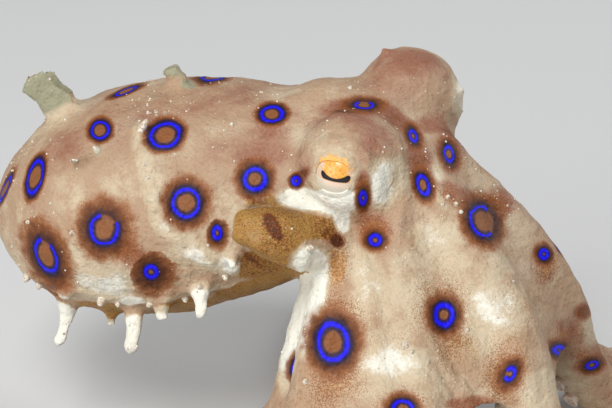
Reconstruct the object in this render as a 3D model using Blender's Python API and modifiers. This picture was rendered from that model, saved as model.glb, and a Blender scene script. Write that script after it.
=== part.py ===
"""Life-size blue-ringed octopus, standing on its arms with the mantle held out behind it.

Units are metres and +Z is up. The animal faces +X, its right side is -Y, and the floor is the
plane z = 0. All forms are laid out about the point of the floor below the eyes, and the last
step moves them together so that the origin is below the middle of the whole animal.
"""

import math
import random

import bmesh
import bpy
from mathutils import Matrix, Vector

MM = 0.001

# Clearance between pieces that meet, and how far a piece is swollen to cut its neighbour clear.
GAP = 0.3 * MM
CLEARANCE = GAP * 1.2
# Side of the boxes that cut flats, larger than the whole animal.
CUT_DEPTH = 260 * MM
# Edges shorter than the first of these are welded; a finer one is tried if that opens the form.
SHORTEST_EDGES = (0.06 * MM, 0.03 * MM, 0.01 * MM, 0.002 * MM)
# Bodies smaller than this are crumbs of a cut.
CRUMB_VOLUME = (1.5 * MM) ** 3

# Head. The eye mounds sit high on it, and the head leans a little to its right.
EYE_MIDDLE = Vector((-0.8, 0.2, 46.6)) * MM
EYE_SPACING = 15.6 * MM
HEAD_ROLL = math.radians(10)
MOUND_RADIUS = 6.8 * MM
EYE_RADIUS = 3.7 * MM
EYE_OUT = 3.4 * MM
EYE_AIM = Vector((0.10, 0.95, 0.30))
EYE_MESH = (16, 10)
HEAD_VOXEL = 0.9 * MM
HEAD_TRIANGLES = 680
HEAD_SMOOTHING = 5
# Each lump of the head: centre, then half-sizes along X, Y and Z.
HEAD_LUMPS = (
    ((-3.0, 0.0, 40.5), (11.0, 10.6, 8.8)),
    ((-10.5, -0.3, 38.6), (8.5, 12.4, 12.2)),
    ((2.2, 0.0, 40.2), (7.6, 9.6, 7.2)),
    ((-7.0, 0.4, 44.6), (8.6, 8.0, 7.6)),
)

# Mantle, from its rear tip to the neck.
MANTLE_TIP = Vector((-51.4, -8.4, 28.0)) * MM
NECK = Vector((-11.6, 0.0, 38.2)) * MM
MANTLE_HALF_WIDTH = 16.6 * MM
MANTLE_HALF_HEIGHT = 14.9 * MM
MANTLE_WIDEST = 0.56
NECK_SHARE = 0.79
MANTLE_LEAN = 0.9
MANTLE_STEPS = 12
MANTLE_SIDES = 24

# Crown of arms: its centre, and the way that the mouth looks.
CROWN = Vector((1.5, 0.0, 38.2)) * MM
MOUTH_AXIS = Vector((0.634, 0.0, -0.773)).normalized()
CROWN_RADIUS = 6.5 * MM

# Arms: length, and radius at the root and at the tip.
ARM_LENGTH = 88 * MM
ARM_ROOT_RADIUS = 4.4 * MM
ARM_TIP_RADIUS = 0.42 * MM
ARM_TAPER = 1.6
ARM_STEP = 4.0 * MM
ARM_RESOLUTION = 2
BASE_END = 37 * MM
MIDDLE_END = 61 * MM
ROOT_INSET = 3.0 * MM
# Where an arm comes to the floor: height of its middle line, the straight lead after it, and the
# length over which it settles until its middle line lies this share of its radius above the floor.
LANDING_HEIGHT = 3.75 * MM
LANDING_LEAD = 6 * MM
SETTLING_LENGTH = 9 * MM
LYING_SHARE = 1.06
LYING_STEP = 0.8 * MM
SPAN_STEPS = 12
CURL_EASE = 1.25
# Half the length over which an arm's direction is taken.
AIM_REACH = 0.6 * MM
# The suckers look down where an arm lies, and turn inwards over this range of height.
TURN_LOW = 5 * MM
TURN_RANGE = 20 * MM
# Width of the discs that part an arm, as a share of its radius.
DISC_WIDTH = 2.2

# Each arm: its angle round the crown from the back of the head, knee, shin and landing points,
# then the heading and the curl of the length that lies on the floor, in degrees.
ARMS = {
    "R1": (22.5, (19.3, -6.8, 29.0), (28.5, -12.3, 13.5), (39.5, -19.0), -28, 105),
    "R2": (67.5, (11.5, -14.5, 26.0), (18.0, -22.5, 12.0), (27.0, -32.0), -48, 95),
    "R3": (112.5, (-0.2, -13.4, 25.0), (-0.5, -21.5, 11.5), (-4.0, -32.0), -108, -75),
    "R4": (157.5, (-5.0, -8.3, 21.0), (-6.8, -13.0, 10.5), (-15.0, -18.5), -155, -85),
    "L4": (-157.5, (-6.2, 6.3, 20.5), (-9.8, 11.0, 10.0), (-16.0, 18.0), 128, -50),
    "L3": (-112.5, (-0.5, 13.0, 24.0), (-1.5, 20.5, 11.0), (-3.5, 31.0), 98, 45),
    "L2": (-67.5, (9.5, 13.8, 25.0), (12.5, 21.5, 12.0), (18.0, 32.0), 55, 90),
    "L1": (-22.5, (18.5, 6.5, 28.5), (23.0, 11.5, 13.5), (32.0, 18.5), 33, 85),
}

# Steps of the dome on a rounded end: how far out, and how wide, in radii.
DOME = ((0.5, 0.87), (0.85, 0.5))

# Web between the arms. It joins them nearer to their outer side, by a share of their radius.
WEB_THICKNESS = 1.0 * MM
WEB_LIFT = 0.6
WEB_REACH_ARM = 35.5 * MM
WEB_REACH_MIDDLE = 28 * MM
WEB_LEVELS = 6
# The sheets that part the arms: first and last level as shares of the web's reach, how far from
# the crown's middle they start, and how far beyond the web they end.
SHEET_START = -0.35
SHEET_END = 1.4
SHEET_INNER = 1.2 * MM
SHEET_OUTER = 11 * MM

# Funnel, bent out to the animal's right and back over the mantle's edge.
FUNNEL_POINTS = (
    (-2.5, -6.0, 35.6),
    (-3.4, -10.8, 36.0),
    (-5.4, -14.8, 37.4),
    (-8.4, -17.6, 38.8),
    (-11.4, -19.0, 39.4),
)
FUNNEL_RADII = (4.4, 4.2, 3.7, 3.2, 2.75)
FUNNEL_STEPS = 3
# Its bore: depth, and radius at the rim and at the bottom.
FUNNEL_BORE_DEPTH = 2.6 * MM
FUNNEL_BORE_RADII = (1.72 * MM, 1.2 * MM)

# Mouth, in the middle of the crown: its lip as shares of length and of radius, and its pit.
MOUTH_RADIUS = 1.9 * MM
MOUTH_LENGTH = 6.0 * MM
MOUTH_RINGS = ((0.0, 1.0), (0.8, 1.0), (0.93, 0.9), (1.0, 0.6))
PIT_ENDS = (0.5 * MM, -1.2 * MM)
PIT_RADII = (0.88 * MM, 0.385 * MM)

# Eyelids: thick rims above and below each eye, which leave a wide low opening.
LID_REACH = 3.6 * MM
LID_THICKNESS = 0.95 * MM
LID_THINNING = 0.25
LID_LIFT = 0.62
LID_STEPS = 12

# Skin flaps on the mantle. Each: share of its length, angle up from level on the right side,
# length, width at the root, thickness, and lean towards the tail.
FLAPS = (
    (0.24, -46, 6.4, 3.2, 1.7, 0.12),
    (0.29, -26, 1.8, 2.6, 1.8, 0.10),
    (0.36, -56, 2.2, 2.4, 1.8, 0.0),
    (0.47, -44, 6.0, 3.4, 1.8, 0.05),
    (0.58, -38, 2.6, 3.0, 1.8, 0.0),
    (0.72, -31, 4.4, 3.0, 1.7, -0.05),
    (0.86, -14, 2.4, 2.2, 1.4, 0.1),
    (0.31, 84, 6.8, 5.2, 1.2, 0.42),
    (0.68, 92, 2.8, 3.0, 1.2, 0.45),
    (0.44, 42, 2.2, 2.6, 1.5, 0.1),
)
FLAP_STEPS = 2
FLAP_CORNERS = 6
# How deep a flap's root is sunk (mm), how it tapers, its rounded top, and how the low ones droop.
FLAP_SUNK = 1.2
FLAP_TAPER = 0.45
FLAP_SHOULDER = 0.93
FLAP_ROUNDING = 0.22
FLAP_DROOP = 0.75

# Small horns and warts on the head: point near the skin, direction, length and width.
HORNS = (
    ((-3.6, 6.6, 53.2), (-0.35, 0.35, 0.9), 2.2, 1.7),
    ((5.2, 9.6, 49.6), (0.8, 0.3, 0.3), 1.2, 1.8),
)

# Suckers: two rows along the underside of each arm.
SUCKER_START = 8.0 * MM
SUCKER_SPACING = 1.7
SUCKER_BETWEEN = 1.7 * MM
SUCKER_SHARE = 0.33
SUCKER_HEIGHT = 0.62
# A sucker's rings from its sunk root to its cup: how wide and how far out, in its own radii.
SUCKER_RINGS = ((0.75, -1.0), (1.0, SUCKER_HEIGHT), (0.45, SUCKER_HEIGHT * 0.4))
# Where its root lies, as a share of the arm's radius.
SUCKER_ROOT = 0.93
SUCKER_SPREAD = math.radians(31)
SUCKER_LEAST = 0.33 * MM
SUCKER_CORNERS = 5
JOINT_CLEARANCE = 0.5 * MM
SEED = 7

# Colours: skin, pale skin, funnel, eye and mouth.
SKIN = (0.62, 0.46, 0.33, 1.0)
PALE_SKIN = (0.80, 0.74, 0.64, 1.0)
FUNNEL_SKIN = (0.46, 0.31, 0.14, 1.0)
EYE_COLOUR = (0.82, 0.50, 0.14, 1.0)
MOUTH_COLOUR = (0.60, 0.42, 0.34, 1.0)


def clear_scene():
    """Removes whatever the file opened with."""
    for old in list(bpy.data.objects):
        bpy.data.objects.remove(old)


def make_collection(name):
    made = bpy.data.collections.new(name)
    bpy.context.scene.collection.children.link(made)
    return made


def skin_material(name, colour, roughness):
    """A Principled material of one colour."""
    made = bpy.data.materials.new(name)
    made.use_nodes = True
    shader = made.node_tree.nodes["Principled BSDF"]
    shader.inputs["Base Color"].default_value = colour
    shader.inputs["Roughness"].default_value = roughness
    shader.inputs["Metallic"].default_value = 0.0
    return made


def remove_collection(collection):
    for obj in list(collection.objects):
        bpy.data.objects.remove(obj)
    bpy.data.collections.remove(collection)


def add_object(name, mesh, collection):
    made = bpy.data.objects.new(name, mesh)
    collection.objects.link(made)
    return made


def settle(obj, weld=0.00001):
    """Replaces an object's mesh by its evaluated form, in world space, welded and facing out."""
    graph = bpy.context.evaluated_depsgraph_get()
    graph.update()
    mesh = bpy.data.meshes.new_from_object(obj.evaluated_get(graph))
    mesh.transform(obj.matrix_world)
    made = bpy.data.objects.new(obj.name, mesh)
    for holder in obj.users_collection:
        holder.objects.link(made)
    name = obj.name
    bpy.data.objects.remove(obj)
    made.name = name
    form = bmesh.new()
    form.from_mesh(mesh)
    bmesh.ops.remove_doubles(form, verts=form.verts, dist=weld)
    bmesh.ops.recalc_face_normals(form, faces=form.faces)
    form.to_mesh(mesh)
    form.free()
    return made


def boolean(obj, operation, operand, solver="MANIFOLD"):
    """Joins or cuts an object by another object or by a whole collection, and applies it."""
    step = obj.modifiers.new(operation.lower(), "BOOLEAN")
    step.operation = operation
    step.solver = solver
    if isinstance(operand, bpy.types.Collection):
        step.operand_type = "COLLECTION"
        step.collection = operand
    else:
        step.object = operand
    graph = bpy.context.evaluated_depsgraph_get()
    graph.update()
    mesh = bpy.data.meshes.new_from_object(obj.evaluated_get(graph))
    obj.modifiers.clear()
    obj.data = mesh


def enclosed(faces):
    """The signed volume inside a set of faces."""
    volume = 0.0
    for face in faces:
        first = face.verts[0].co
        for a, b in zip(face.verts[1:-1], face.verts[2:]):
            volume += first.dot(a.co.cross(b.co)) / 6
    return volume


def body_volumes(form):
    """The separate bodies of a bmesh, each as its signed volume and its faces."""
    left = set(form.faces)
    bodies = []
    while left:
        seed = left.pop()
        body = {seed}
        waiting = [seed]
        while waiting:
            face = waiting.pop()
            for edge in face.edges:
                for other in edge.link_faces:
                    if other in left:
                        left.discard(other)
                        body.add(other)
                        waiting.append(other)
        bodies.append((enclosed(body), body))
    return bodies


def keep_largest(obj):
    """Keeps only the largest closed surface of an object."""
    form = bmesh.new()
    form.from_mesh(obj.data)
    bodies = sorted(body_volumes(form), key=lambda item: item[0])
    for _, body in bodies[:-1]:
        bmesh.ops.delete(form, geom=list(body), context="FACES")
    loose = [vertex for vertex in form.verts if not vertex.link_faces]
    bmesh.ops.delete(form, geom=loose, context="VERTS")
    form.to_mesh(obj.data)
    form.free()


def split(obj, marks, collection):
    """Parts an object into the separate bodies nearest to each named mark."""
    form = bmesh.new()
    form.from_mesh(obj.data)
    form.faces.ensure_lookup_table()
    bodies = [{face.index for face in body} for volume, body in body_volumes(form) if volume > CRUMB_VOLUME]
    centres = [face.calc_center_median() for face in form.faces]
    form.free()
    made = []
    for name, mark in marks.items():
        kept = min(bodies, key=lambda body: min((centres[index] - mark).length for index in body))
        piece = bmesh.new()
        piece.from_mesh(obj.data)
        others = [face for face in piece.faces if face.index not in kept]
        bmesh.ops.delete(piece, geom=others, context="FACES")
        mesh = bpy.data.meshes.new(name)
        piece.to_mesh(mesh)
        piece.free()
        made.append(add_object(name, mesh, collection))
    bpy.data.objects.remove(obj)
    return made


def tidy(obj):
    """Makes every face a triangle and removes the slivers that cutting leaves."""
    for least_edge in SHORTEST_EDGES:
        form = bmesh.new()
        form.from_mesh(obj.data)
        bmesh.ops.remove_doubles(form, verts=form.verts, dist=least_edge)
        bmesh.ops.dissolve_degenerate(form, edges=form.edges, dist=least_edge / 2)
        bmesh.ops.triangulate(form, faces=form.faces)
        bmesh.ops.recalc_face_normals(form, faces=form.faces)
        closed = all(edge.is_manifold for edge in form.edges)
        if closed:
            form.to_mesh(obj.data)
        form.free()
        if closed:
            return


def swollen(obj, amount, collection):
    """A copy of an object, grown by an amount along its normals, to cut a clearance with."""
    made = add_object(obj.name + "_clearance", obj.data.copy(), collection)
    made.data.update()
    normals = [vertex.normal.copy() for vertex in made.data.vertices]
    for vertex, normal in zip(made.data.vertices, normals):
        vertex.co += normal * amount
    return made


def tube(name, points, radii, resolution, collection):
    """A closed round tube along points, with its own radius at each."""
    curve = bpy.data.curves.new(name, "CURVE")
    curve.dimensions = "3D"
    curve.bevel_depth = 1.0
    curve.bevel_resolution = resolution
    curve.use_fill_caps = True
    line = curve.splines.new("POLY")
    line.points.add(len(points) - 1)
    for spot, point, radius in zip(line.points, points, radii):
        spot.co = (*point, 1.0)
        spot.radius = radius
    return settle(add_object(name, curve, collection))


def rounded_tube(name, points, radii, resolution, collection):
    """A tube whose far end closes in a dome and not in a flat cap."""
    ahead = (points[-1] - points[-2]).normalized()
    last = radii[-1]
    domed = list(points)
    narrowed = list(radii)
    for far, share in DOME:
        domed.append(points[-1] + ahead * last * far)
        narrowed.append(last * share)
    return tube(name, domed, narrowed, resolution, collection)


def spline(points, steps):
    """A smooth curve through the points: a Catmull-Rom spline with this many steps a span."""
    ends = [points[0] * 2 - points[1], *points, points[-1] * 2 - points[-2]]
    out = []
    for before, here, there, after in zip(ends, ends[1:], ends[2:], ends[3:]):
        for step in range(steps):
            t = step / steps
            out.append(0.5 * (
                here * 2 + (there - before) * t
                + (before * 2 - here * 5 + there * 4 - after) * t * t
                + (here * 3 - before - there * 3 + after) * t * t * t
            ))
    out.append(points[-1].copy())
    return out


def lengths_along(points):
    """The distance from the first point to each point, along the line."""
    out = [0.0]
    for here, there in zip(points, points[1:]):
        out.append(out[-1] + (there - here).length)
    return out


def at_length(points, lengths, wanted):
    """The point of a line at a distance along it; before its start the line runs on straight."""
    if wanted < 0:
        return points[0] + (points[0] - points[1]).normalized() * -wanted
    for index in range(1, len(points)):
        if lengths[index] >= wanted:
            share = (wanted - lengths[index - 1]) / (lengths[index] - lengths[index - 1])
            return points[index - 1].lerp(points[index], share)
    return points[-1].copy()


def crown_side(angle):
    """The direction across the crown at this angle from the back of the head, positive to the right."""
    back = Vector((-MOUTH_AXIS.z, 0, MOUTH_AXIS.x))
    return back * math.cos(angle) + Vector((0, -1, 0)) * math.sin(angle)


def arm_radius(length):
    share = min(1.0, max(0.0, length / ARM_LENGTH))
    return ARM_TIP_RADIUS + (ARM_ROOT_RADIUS - ARM_TIP_RADIUS) * (1 - share ** ARM_TAPER)


def arm_line(arm):
    """The middle line of an arm as closely spaced points, with the distances along it."""
    angle, knee, shin, landing, heading, curl = ARMS[arm]
    start = CROWN + crown_side(math.radians(angle)) * CROWN_RADIUS
    heading = math.radians(heading)
    landing = Vector((*landing, 0)) * MM
    landing.z = LANDING_HEIGHT
    beyond = landing + Vector((math.cos(heading), math.sin(heading), 0)) * LANDING_LEAD
    corners = [start, Vector(knee) * MM, Vector(shin) * MM, landing, beyond]
    hanging = spline(corners, SPAN_STEPS)[:-SPAN_STEPS]
    hung = lengths_along(hanging)[-1]
    lying = ARM_LENGTH - hung
    points = list(hanging)
    spot = landing.copy()
    for index in range(1, int(lying / LYING_STEP) + 1):
        along = index * LYING_STEP
        turn = heading + math.radians(curl) * (along / lying) ** CURL_EASE
        spot = spot + Vector((math.cos(turn), math.sin(turn), 0)) * LYING_STEP
        settled = arm_radius(hung + along) * LYING_SHARE
        ease = min(1.0, along / SETTLING_LENGTH)
        spot.z = LANDING_HEIGHT + (settled - LANDING_HEIGHT) * ease
        points.append(spot.copy())
    return points, lengths_along(points)


def arm_frame(points, lengths, length):
    """Point, direction, side and sucker-side directions of an arm at a distance along it."""
    here = at_length(points, lengths, length)
    ahead = at_length(points, lengths, length + AIM_REACH) - at_length(points, lengths, length - AIM_REACH)
    ahead.normalize()
    inward = Vector((CROWN.x, CROWN.y, 0)) - Vector((here.x, here.y, 0))
    lift = min(1.0, max(0.0, (here.z - TURN_LOW) / TURN_RANGE))
    down = inward.normalized() * lift + Vector((0, 0, -1))
    under = (down - ahead * down.dot(ahead)).normalized()
    return here, ahead, ahead.cross(under), under


def arm_tube(arm, collection):
    """One whole arm as a tube, from inside the crown to its tip."""
    points, lengths = arm_line(arm)
    count = round((ARM_LENGTH + ROOT_INSET) / ARM_STEP)
    spots = [-ROOT_INSET + (ARM_LENGTH + ROOT_INSET) * index / count for index in range(count + 1)]
    line = [at_length(points, lengths, spot) for spot in spots]
    return rounded_tube("arm_" + arm, line, [arm_radius(spot) for spot in spots], ARM_RESOLUTION, collection)


def arm_disc(arm, length, collection):
    """A thin disc square across an arm, to part it into lengths."""
    here, ahead, _, _ = arm_frame(*arm_line(arm), length)
    half = ahead * GAP / 2
    radii = [arm_radius(length) * DISC_WIDTH] * 2
    return tube("disc_" + arm, [here - half, here + half], radii, ARM_RESOLUTION, collection)


def arm_lengths(arm, parts):
    """The base, middle and tip of one arm."""
    whole = arm_tube(arm, parts)
    discs = make_collection("discs")
    for length in (BASE_END, MIDDLE_END):
        arm_disc(arm, length, discs)
    boolean(whole, "DIFFERENCE", discs)
    remove_collection(discs)
    points, lengths = arm_line(arm)
    ends = (("base", 0, BASE_END), ("middle", BASE_END, MIDDLE_END), ("tip", MIDDLE_END, ARM_LENGTH))
    marks = {}
    for name, start, end in ends:
        marks["arm_" + arm + "_" + name] = at_length(points, lengths, (start + end) / 2)
    return split(whole, marks, parts)


def ellipsoid(name, centre, sizes, collection, segments=28, rings=18):
    mesh = bpy.data.meshes.new(name)
    form = bmesh.new()
    bmesh.ops.create_uvsphere(form, u_segments=segments, v_segments=rings, radius=1.0)
    bmesh.ops.scale(form, vec=sizes, verts=form.verts)
    bmesh.ops.translate(form, vec=centre, verts=form.verts)
    form.to_mesh(mesh)
    form.free()
    return add_object(name, mesh, collection)


def eye_places():
    """For each side: the middle of the eye mound, the direction that the eye looks, and its centre."""
    lean = Matrix.Rotation(HEAD_ROLL, 3, "X")
    places = {}
    for side, sign in (("right", -1), ("left", 1)):
        mound = EYE_MIDDLE + lean @ Vector((0, sign * EYE_SPACING / 2, 0))
        aim = (lean @ Vector((EYE_AIM.x, sign * EYE_AIM.y, EYE_AIM.z))).normalized()
        places[side] = (mound, aim, mound + aim * EYE_OUT)
    return places


def eye_frame(aim):
    """Forward and upward directions across an eye that looks along this aim."""
    forward = (Vector((1, 0, 0)) - aim * aim.x).normalized()
    upward = forward.cross(aim)
    return forward, upward if upward.z > 0 else -upward


def lid_lumps(side, scraps):
    """The upper and the lower eyelid of one eye, as short thick bows."""
    _, aim, centre = eye_places()[side]
    forward, upward = eye_frame(aim)
    lids = []
    for sign in (1, -1):
        points = []
        radii = []
        for step in range(LID_STEPS + 1):
            turn = math.pi * step / LID_STEPS
            radii.append(LID_THICKNESS * (1 - LID_THINNING * (1 - math.sin(turn))))
            across = forward * math.cos(turn) + upward * (sign * LID_LIFT * math.sin(turn))
            out = math.sqrt(max(0.0, EYE_RADIUS ** 2 - (LID_REACH * across.length) ** 2))
            points.append(centre + across * LID_REACH + aim * out)
        lids.append(tube("lid_" + side, points, radii, 3, scraps))
    return lids


def head_lumps(parts, scraps):
    """The lumps of the head, the eye mounds and the lids, as one mesh of shells that overlap."""
    lumps = []
    for centre, sizes in HEAD_LUMPS:
        lumps.append(ellipsoid("head_lump", Vector(centre) * MM, Vector(sizes) * MM, scraps))
    for side, (mound, _, _) in eye_places().items():
        lumps.append(ellipsoid("head_lump", mound, (MOUND_RADIUS,) * 3, scraps))
        lumps += lid_lumps(side, scraps)
    form = bmesh.new()
    for lump in lumps:
        form.from_mesh(lump.data)
        bpy.data.objects.remove(lump)
    mesh = bpy.data.meshes.new("head")
    form.to_mesh(mesh)
    form.free()
    return add_object("head", mesh, parts)


def run_together(head):
    """Makes one smooth surface of the lumps, with only as many triangles as it needs."""
    remesh = head.modifiers.new("remesh", "REMESH")
    remesh.mode = "VOXEL"
    remesh.voxel_size = HEAD_VOXEL
    smooth = head.modifiers.new("smooth", "SMOOTH")
    smooth.factor = 0.5
    smooth.iterations = HEAD_SMOOTHING
    head = settle(head)
    reduce = head.modifiers.new("decimate", "DECIMATE")
    reduce.ratio = HEAD_TRIANGLES / (2 * len(head.data.polygons))
    return settle(head)


def add_horns(head):
    horns = make_collection("horns")
    for index, (root, direction, length, width) in enumerate(HORNS):
        aim = Vector(direction).normalized()
        across = aim.orthogonal().normalized()
        flap("horn_%d" % index, Vector(root) * MM, aim, across, length, width, width, horns)
    boolean(head, "UNION", horns)
    remove_collection(horns)


def make_head(parts, scraps):
    """The head: one smooth form, cut flat where the mantle meets it, with eye sockets and horns."""
    head = run_together(head_lumps(parts, scraps))
    behind = box_behind("neck_cutter", NECK + mantle_axis() * GAP, -mantle_axis(), scraps)
    boolean(head, "DIFFERENCE", behind)
    for side, (_, _, centre) in eye_places().items():
        socket = ellipsoid("socket_" + side, centre, (EYE_RADIUS + GAP,) * 3, scraps, *EYE_MESH)
        boolean(head, "DIFFERENCE", socket)
    add_horns(head)
    tidy(head)
    keep_largest(head)
    return head


def sucker(name, root, out, ahead, radius, collection):
    """One sucker: a short cone that widens outwards, with a cup in its face."""
    mesh = bpy.data.meshes.new(name)
    form = bmesh.new()
    side = out.cross(ahead).normalized()
    fore = side.cross(out)
    rings = []
    for wide, rise in SUCKER_RINGS:
        ring = []
        for corner in range(SUCKER_CORNERS):
            turn = corner * math.tau / SUCKER_CORNERS
            spot = fore * math.cos(turn) + side * math.sin(turn)
            ring.append(form.verts.new(root + spot * radius * wide + out * radius * rise))
        rings.append(ring)
    for low, high in zip(rings, rings[1:]):
        for index in range(SUCKER_CORNERS):
            after = (index + 1) % SUCKER_CORNERS
            form.faces.new((low[index], low[after], high[after], high[index]))
    form.faces.new(rings[-1])
    form.faces.new(list(reversed(rings[0])))
    bmesh.ops.recalc_face_normals(form, faces=form.faces)
    form.to_mesh(mesh)
    form.free()
    return add_object(name, mesh, collection)


def sucker_places():
    """Distance along an arm, row and radius of every sucker, from the mouth to the tip."""
    places = []
    length = SUCKER_START
    row = 0
    while length < ARM_LENGTH - 2 * SUCKER_LEAST:
        radius = max(SUCKER_LEAST, arm_radius(length) * SUCKER_SHARE)
        near_joint = any(abs(length - joint) < radius + JOINT_CLEARANCE for joint in (BASE_END, MIDDLE_END))
        if not near_joint:
            places.append((length, 1 if row % 2 else -1, radius))
        row += 1
        length += radius * SUCKER_SPACING + SUCKER_BETWEEN
    return places


def grow_suckers(arm, start, end, collection):
    """Makes the suckers of one length of an arm, each with its root sunk in the arm."""
    points, lengths = arm_line(arm)
    for length, row, radius in sucker_places():
        if not start < length < end:
            continue
        here, ahead, side, under = arm_frame(points, lengths, length)
        turned = under * math.cos(SUCKER_SPREAD) + side * (row * math.sin(SUCKER_SPREAD))
        root = here + turned * arm_radius(length) * SUCKER_ROOT
        sucker("sucker", root, turned, ahead, radius, collection)


def box_behind(name, point, direction, collection):
    """A large box that lies wholly on one side of a plane, to cut with."""
    mesh = bpy.data.meshes.new(name)
    form = bmesh.new()
    bmesh.ops.create_cube(form, size=CUT_DEPTH)
    turn = direction.to_track_quat("Z", "Y").to_matrix().to_4x4()
    place = Matrix.Translation(point + direction * CUT_DEPTH / 2)
    bmesh.ops.transform(form, matrix=place @ turn, verts=form.verts)
    form.to_mesh(mesh)
    form.free()
    return add_object(name, mesh, collection)


def make_eyes(parts):
    for side, (_, _, centre) in eye_places().items():
        ellipsoid("eye_" + side, centre, (EYE_RADIUS,) * 3, parts, *EYE_MESH)


def mantle_axis():
    """The direction from the mantle's tip to the neck."""
    return (NECK - MANTLE_TIP).normalized()


def mantle_share(t):
    """The mantle's girth at a share t of its length, as a share of its widest."""
    if t < MANTLE_WIDEST:
        return math.sqrt(max(0.0, 1 - ((MANTLE_WIDEST - t) / MANTLE_WIDEST) ** 2.15))
    return 1 - (1 - NECK_SHARE) * ((t - MANTLE_WIDEST) / (1 - MANTLE_WIDEST)) ** 1.7


def mantle_turn():
    """Rotation from the mantle's own frame (x along it, y left, z up) to the world."""
    ahead = mantle_axis()
    left = Vector((0, 0, 1)).cross(ahead).normalized()
    return Matrix((ahead, left, ahead.cross(left))).transposed()


def mantle_spot(t, angle):
    """A point on the mantle's skin and the way out of it. The angle goes up from level, 90 is its back."""
    turn = mantle_turn()
    level = math.cos(angle)
    rise = math.sin(angle)
    side = Vector((0, level * MANTLE_HALF_WIDTH, rise * MANTLE_HALF_HEIGHT)) * mantle_share(t)
    out = Vector((0, level / MANTLE_HALF_WIDTH, rise / MANTLE_HALF_HEIGHT)).normalized()
    out.x = (t - MANTLE_WIDEST) * MANTLE_LEAN
    return MANTLE_TIP.lerp(NECK, t) + turn @ side, (turn @ out).normalized()


def flap(name, root, aim, across, length, width, thickness, collection):
    """A tapering flap of skin that stands up from a root along an aim, with a rounded top."""
    mesh = bpy.data.meshes.new(name)
    form = bmesh.new()
    side = aim.cross(across)
    rows = []
    shoulder = (FLAP_SHOULDER, 1 - FLAP_TAPER * FLAP_SHOULDER - FLAP_ROUNDING)
    steps = [(index / FLAP_STEPS, 1 - FLAP_TAPER * index / FLAP_STEPS) for index in range(FLAP_STEPS)]
    for share, wide in ((-FLAP_SUNK / length, 1.0), *steps, shoulder):
        ring = []
        for corner in range(FLAP_CORNERS):
            turn = corner * math.tau / FLAP_CORNERS
            spot = across * math.cos(turn) * width + side * math.sin(turn) * thickness
            ring.append(form.verts.new(root + (spot * wide / 2 + aim * length * share) * MM))
        rows.append(ring)
    top = form.verts.new(root + aim * length * MM)
    for index in range(FLAP_CORNERS):
        after = (index + 1) % FLAP_CORNERS
        for low, high in zip(rows, rows[1:]):
            form.faces.new((low[index], low[after], high[after], high[index]))
        form.faces.new((rows[-1][index], rows[-1][after], top))
    form.faces.new(list(reversed(rows[0])))
    bmesh.ops.recalc_face_normals(form, faces=form.faces)
    form.to_mesh(mesh)
    form.free()
    return add_object(name, mesh, collection)


def add_flaps(mantle):
    """The flaps on both sides of the mantle, fused to it with their roots sunk in."""
    random.seed(SEED)
    flaps = make_collection("flaps")
    ahead = mantle_axis()
    for index, (share, angle, length, width, thickness, lean) in enumerate(FLAPS):
        for side in (1, -1):
            if side < 0:
                share = share + random.uniform(-0.04, 0.04)
                length = length * random.uniform(0.75, 1.1)
            turn = math.radians(180 - angle if side > 0 else angle)
            root, out = mantle_spot(share, turn)
            aim = (out - ahead * lean).normalized()
            if angle < 0:
                aim = (aim - Vector((0, 0, FLAP_DROOP))).normalized()
            across = (ahead - aim * ahead.dot(aim)).normalized()
            flap("flap_%d" % index, root, aim, across, length, width, thickness, flaps)
    boolean(mantle, "UNION", flaps)
    remove_collection(flaps)


def make_mantle(parts):
    """The mantle: a turned bag with an oval section."""
    mesh = bpy.data.meshes.new("mantle")
    form = bmesh.new()
    length = (NECK - MANTLE_TIP).length
    profile = [form.verts.new((0, 0, length))]
    for index in range(MANTLE_STEPS + 1):
        t = 1 - index / MANTLE_STEPS
        t = t if t > MANTLE_WIDEST else MANTLE_WIDEST * (1 - math.cos(math.pi / 2 * t / MANTLE_WIDEST))
        radius = mantle_share(t)
        profile.append(form.verts.new((max(radius, 0.0), 0, length * t)))
    for here, there in zip(profile, profile[1:]):
        form.edges.new((here, there))
    form.to_mesh(mesh)
    form.free()
    mantle = add_object("mantle", mesh, parts)
    screw = mantle.modifiers.new("turn", "SCREW")
    screw.steps = MANTLE_SIDES
    screw.render_steps = MANTLE_SIDES
    screw.use_merge_vertices = True
    screw.merge_threshold = 0.00001
    mantle = settle(mantle)
    turn = mantle_turn()
    for vertex in mantle.data.vertices:
        local = Vector((vertex.co.z, -vertex.co.y * MANTLE_HALF_WIDTH, vertex.co.x * MANTLE_HALF_HEIGHT))
        vertex.co = MANTLE_TIP + turn @ local
    add_flaps(mantle)
    tidy(mantle)
    keep_largest(mantle)
    return mantle


def make_funnel(parts, head_clearance, mantle_clearance, scraps):
    """The funnel: a bent tapering tube with an open mouth, clear of the head and the mantle."""
    points = spline([Vector(point) * MM for point in FUNNEL_POINTS], FUNNEL_STEPS)
    count = len(FUNNEL_RADII) - 1
    radii = []
    for index in range(len(points)):
        place = index / (len(points) - 1) * count
        low = min(count - 1, int(place))
        radii.append((FUNNEL_RADII[low] + (FUNNEL_RADII[low + 1] - FUNNEL_RADII[low]) * (place - low)) * MM)
    funnel = tube("funnel", points, radii, 3, parts)
    ahead = (points[-1] - points[-2]).normalized()
    ends = [points[-1] + ahead * MM, points[-1] - ahead * FUNNEL_BORE_DEPTH]
    bore = tube("funnel_bore", ends, FUNNEL_BORE_RADII, 2, scraps)
    boolean(funnel, "DIFFERENCE", head_clearance)
    boolean(funnel, "DIFFERENCE", mantle_clearance)
    boolean(funnel, "DIFFERENCE", bore)
    tidy(funnel)
    keep_largest(funnel)
    return funnel


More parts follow.
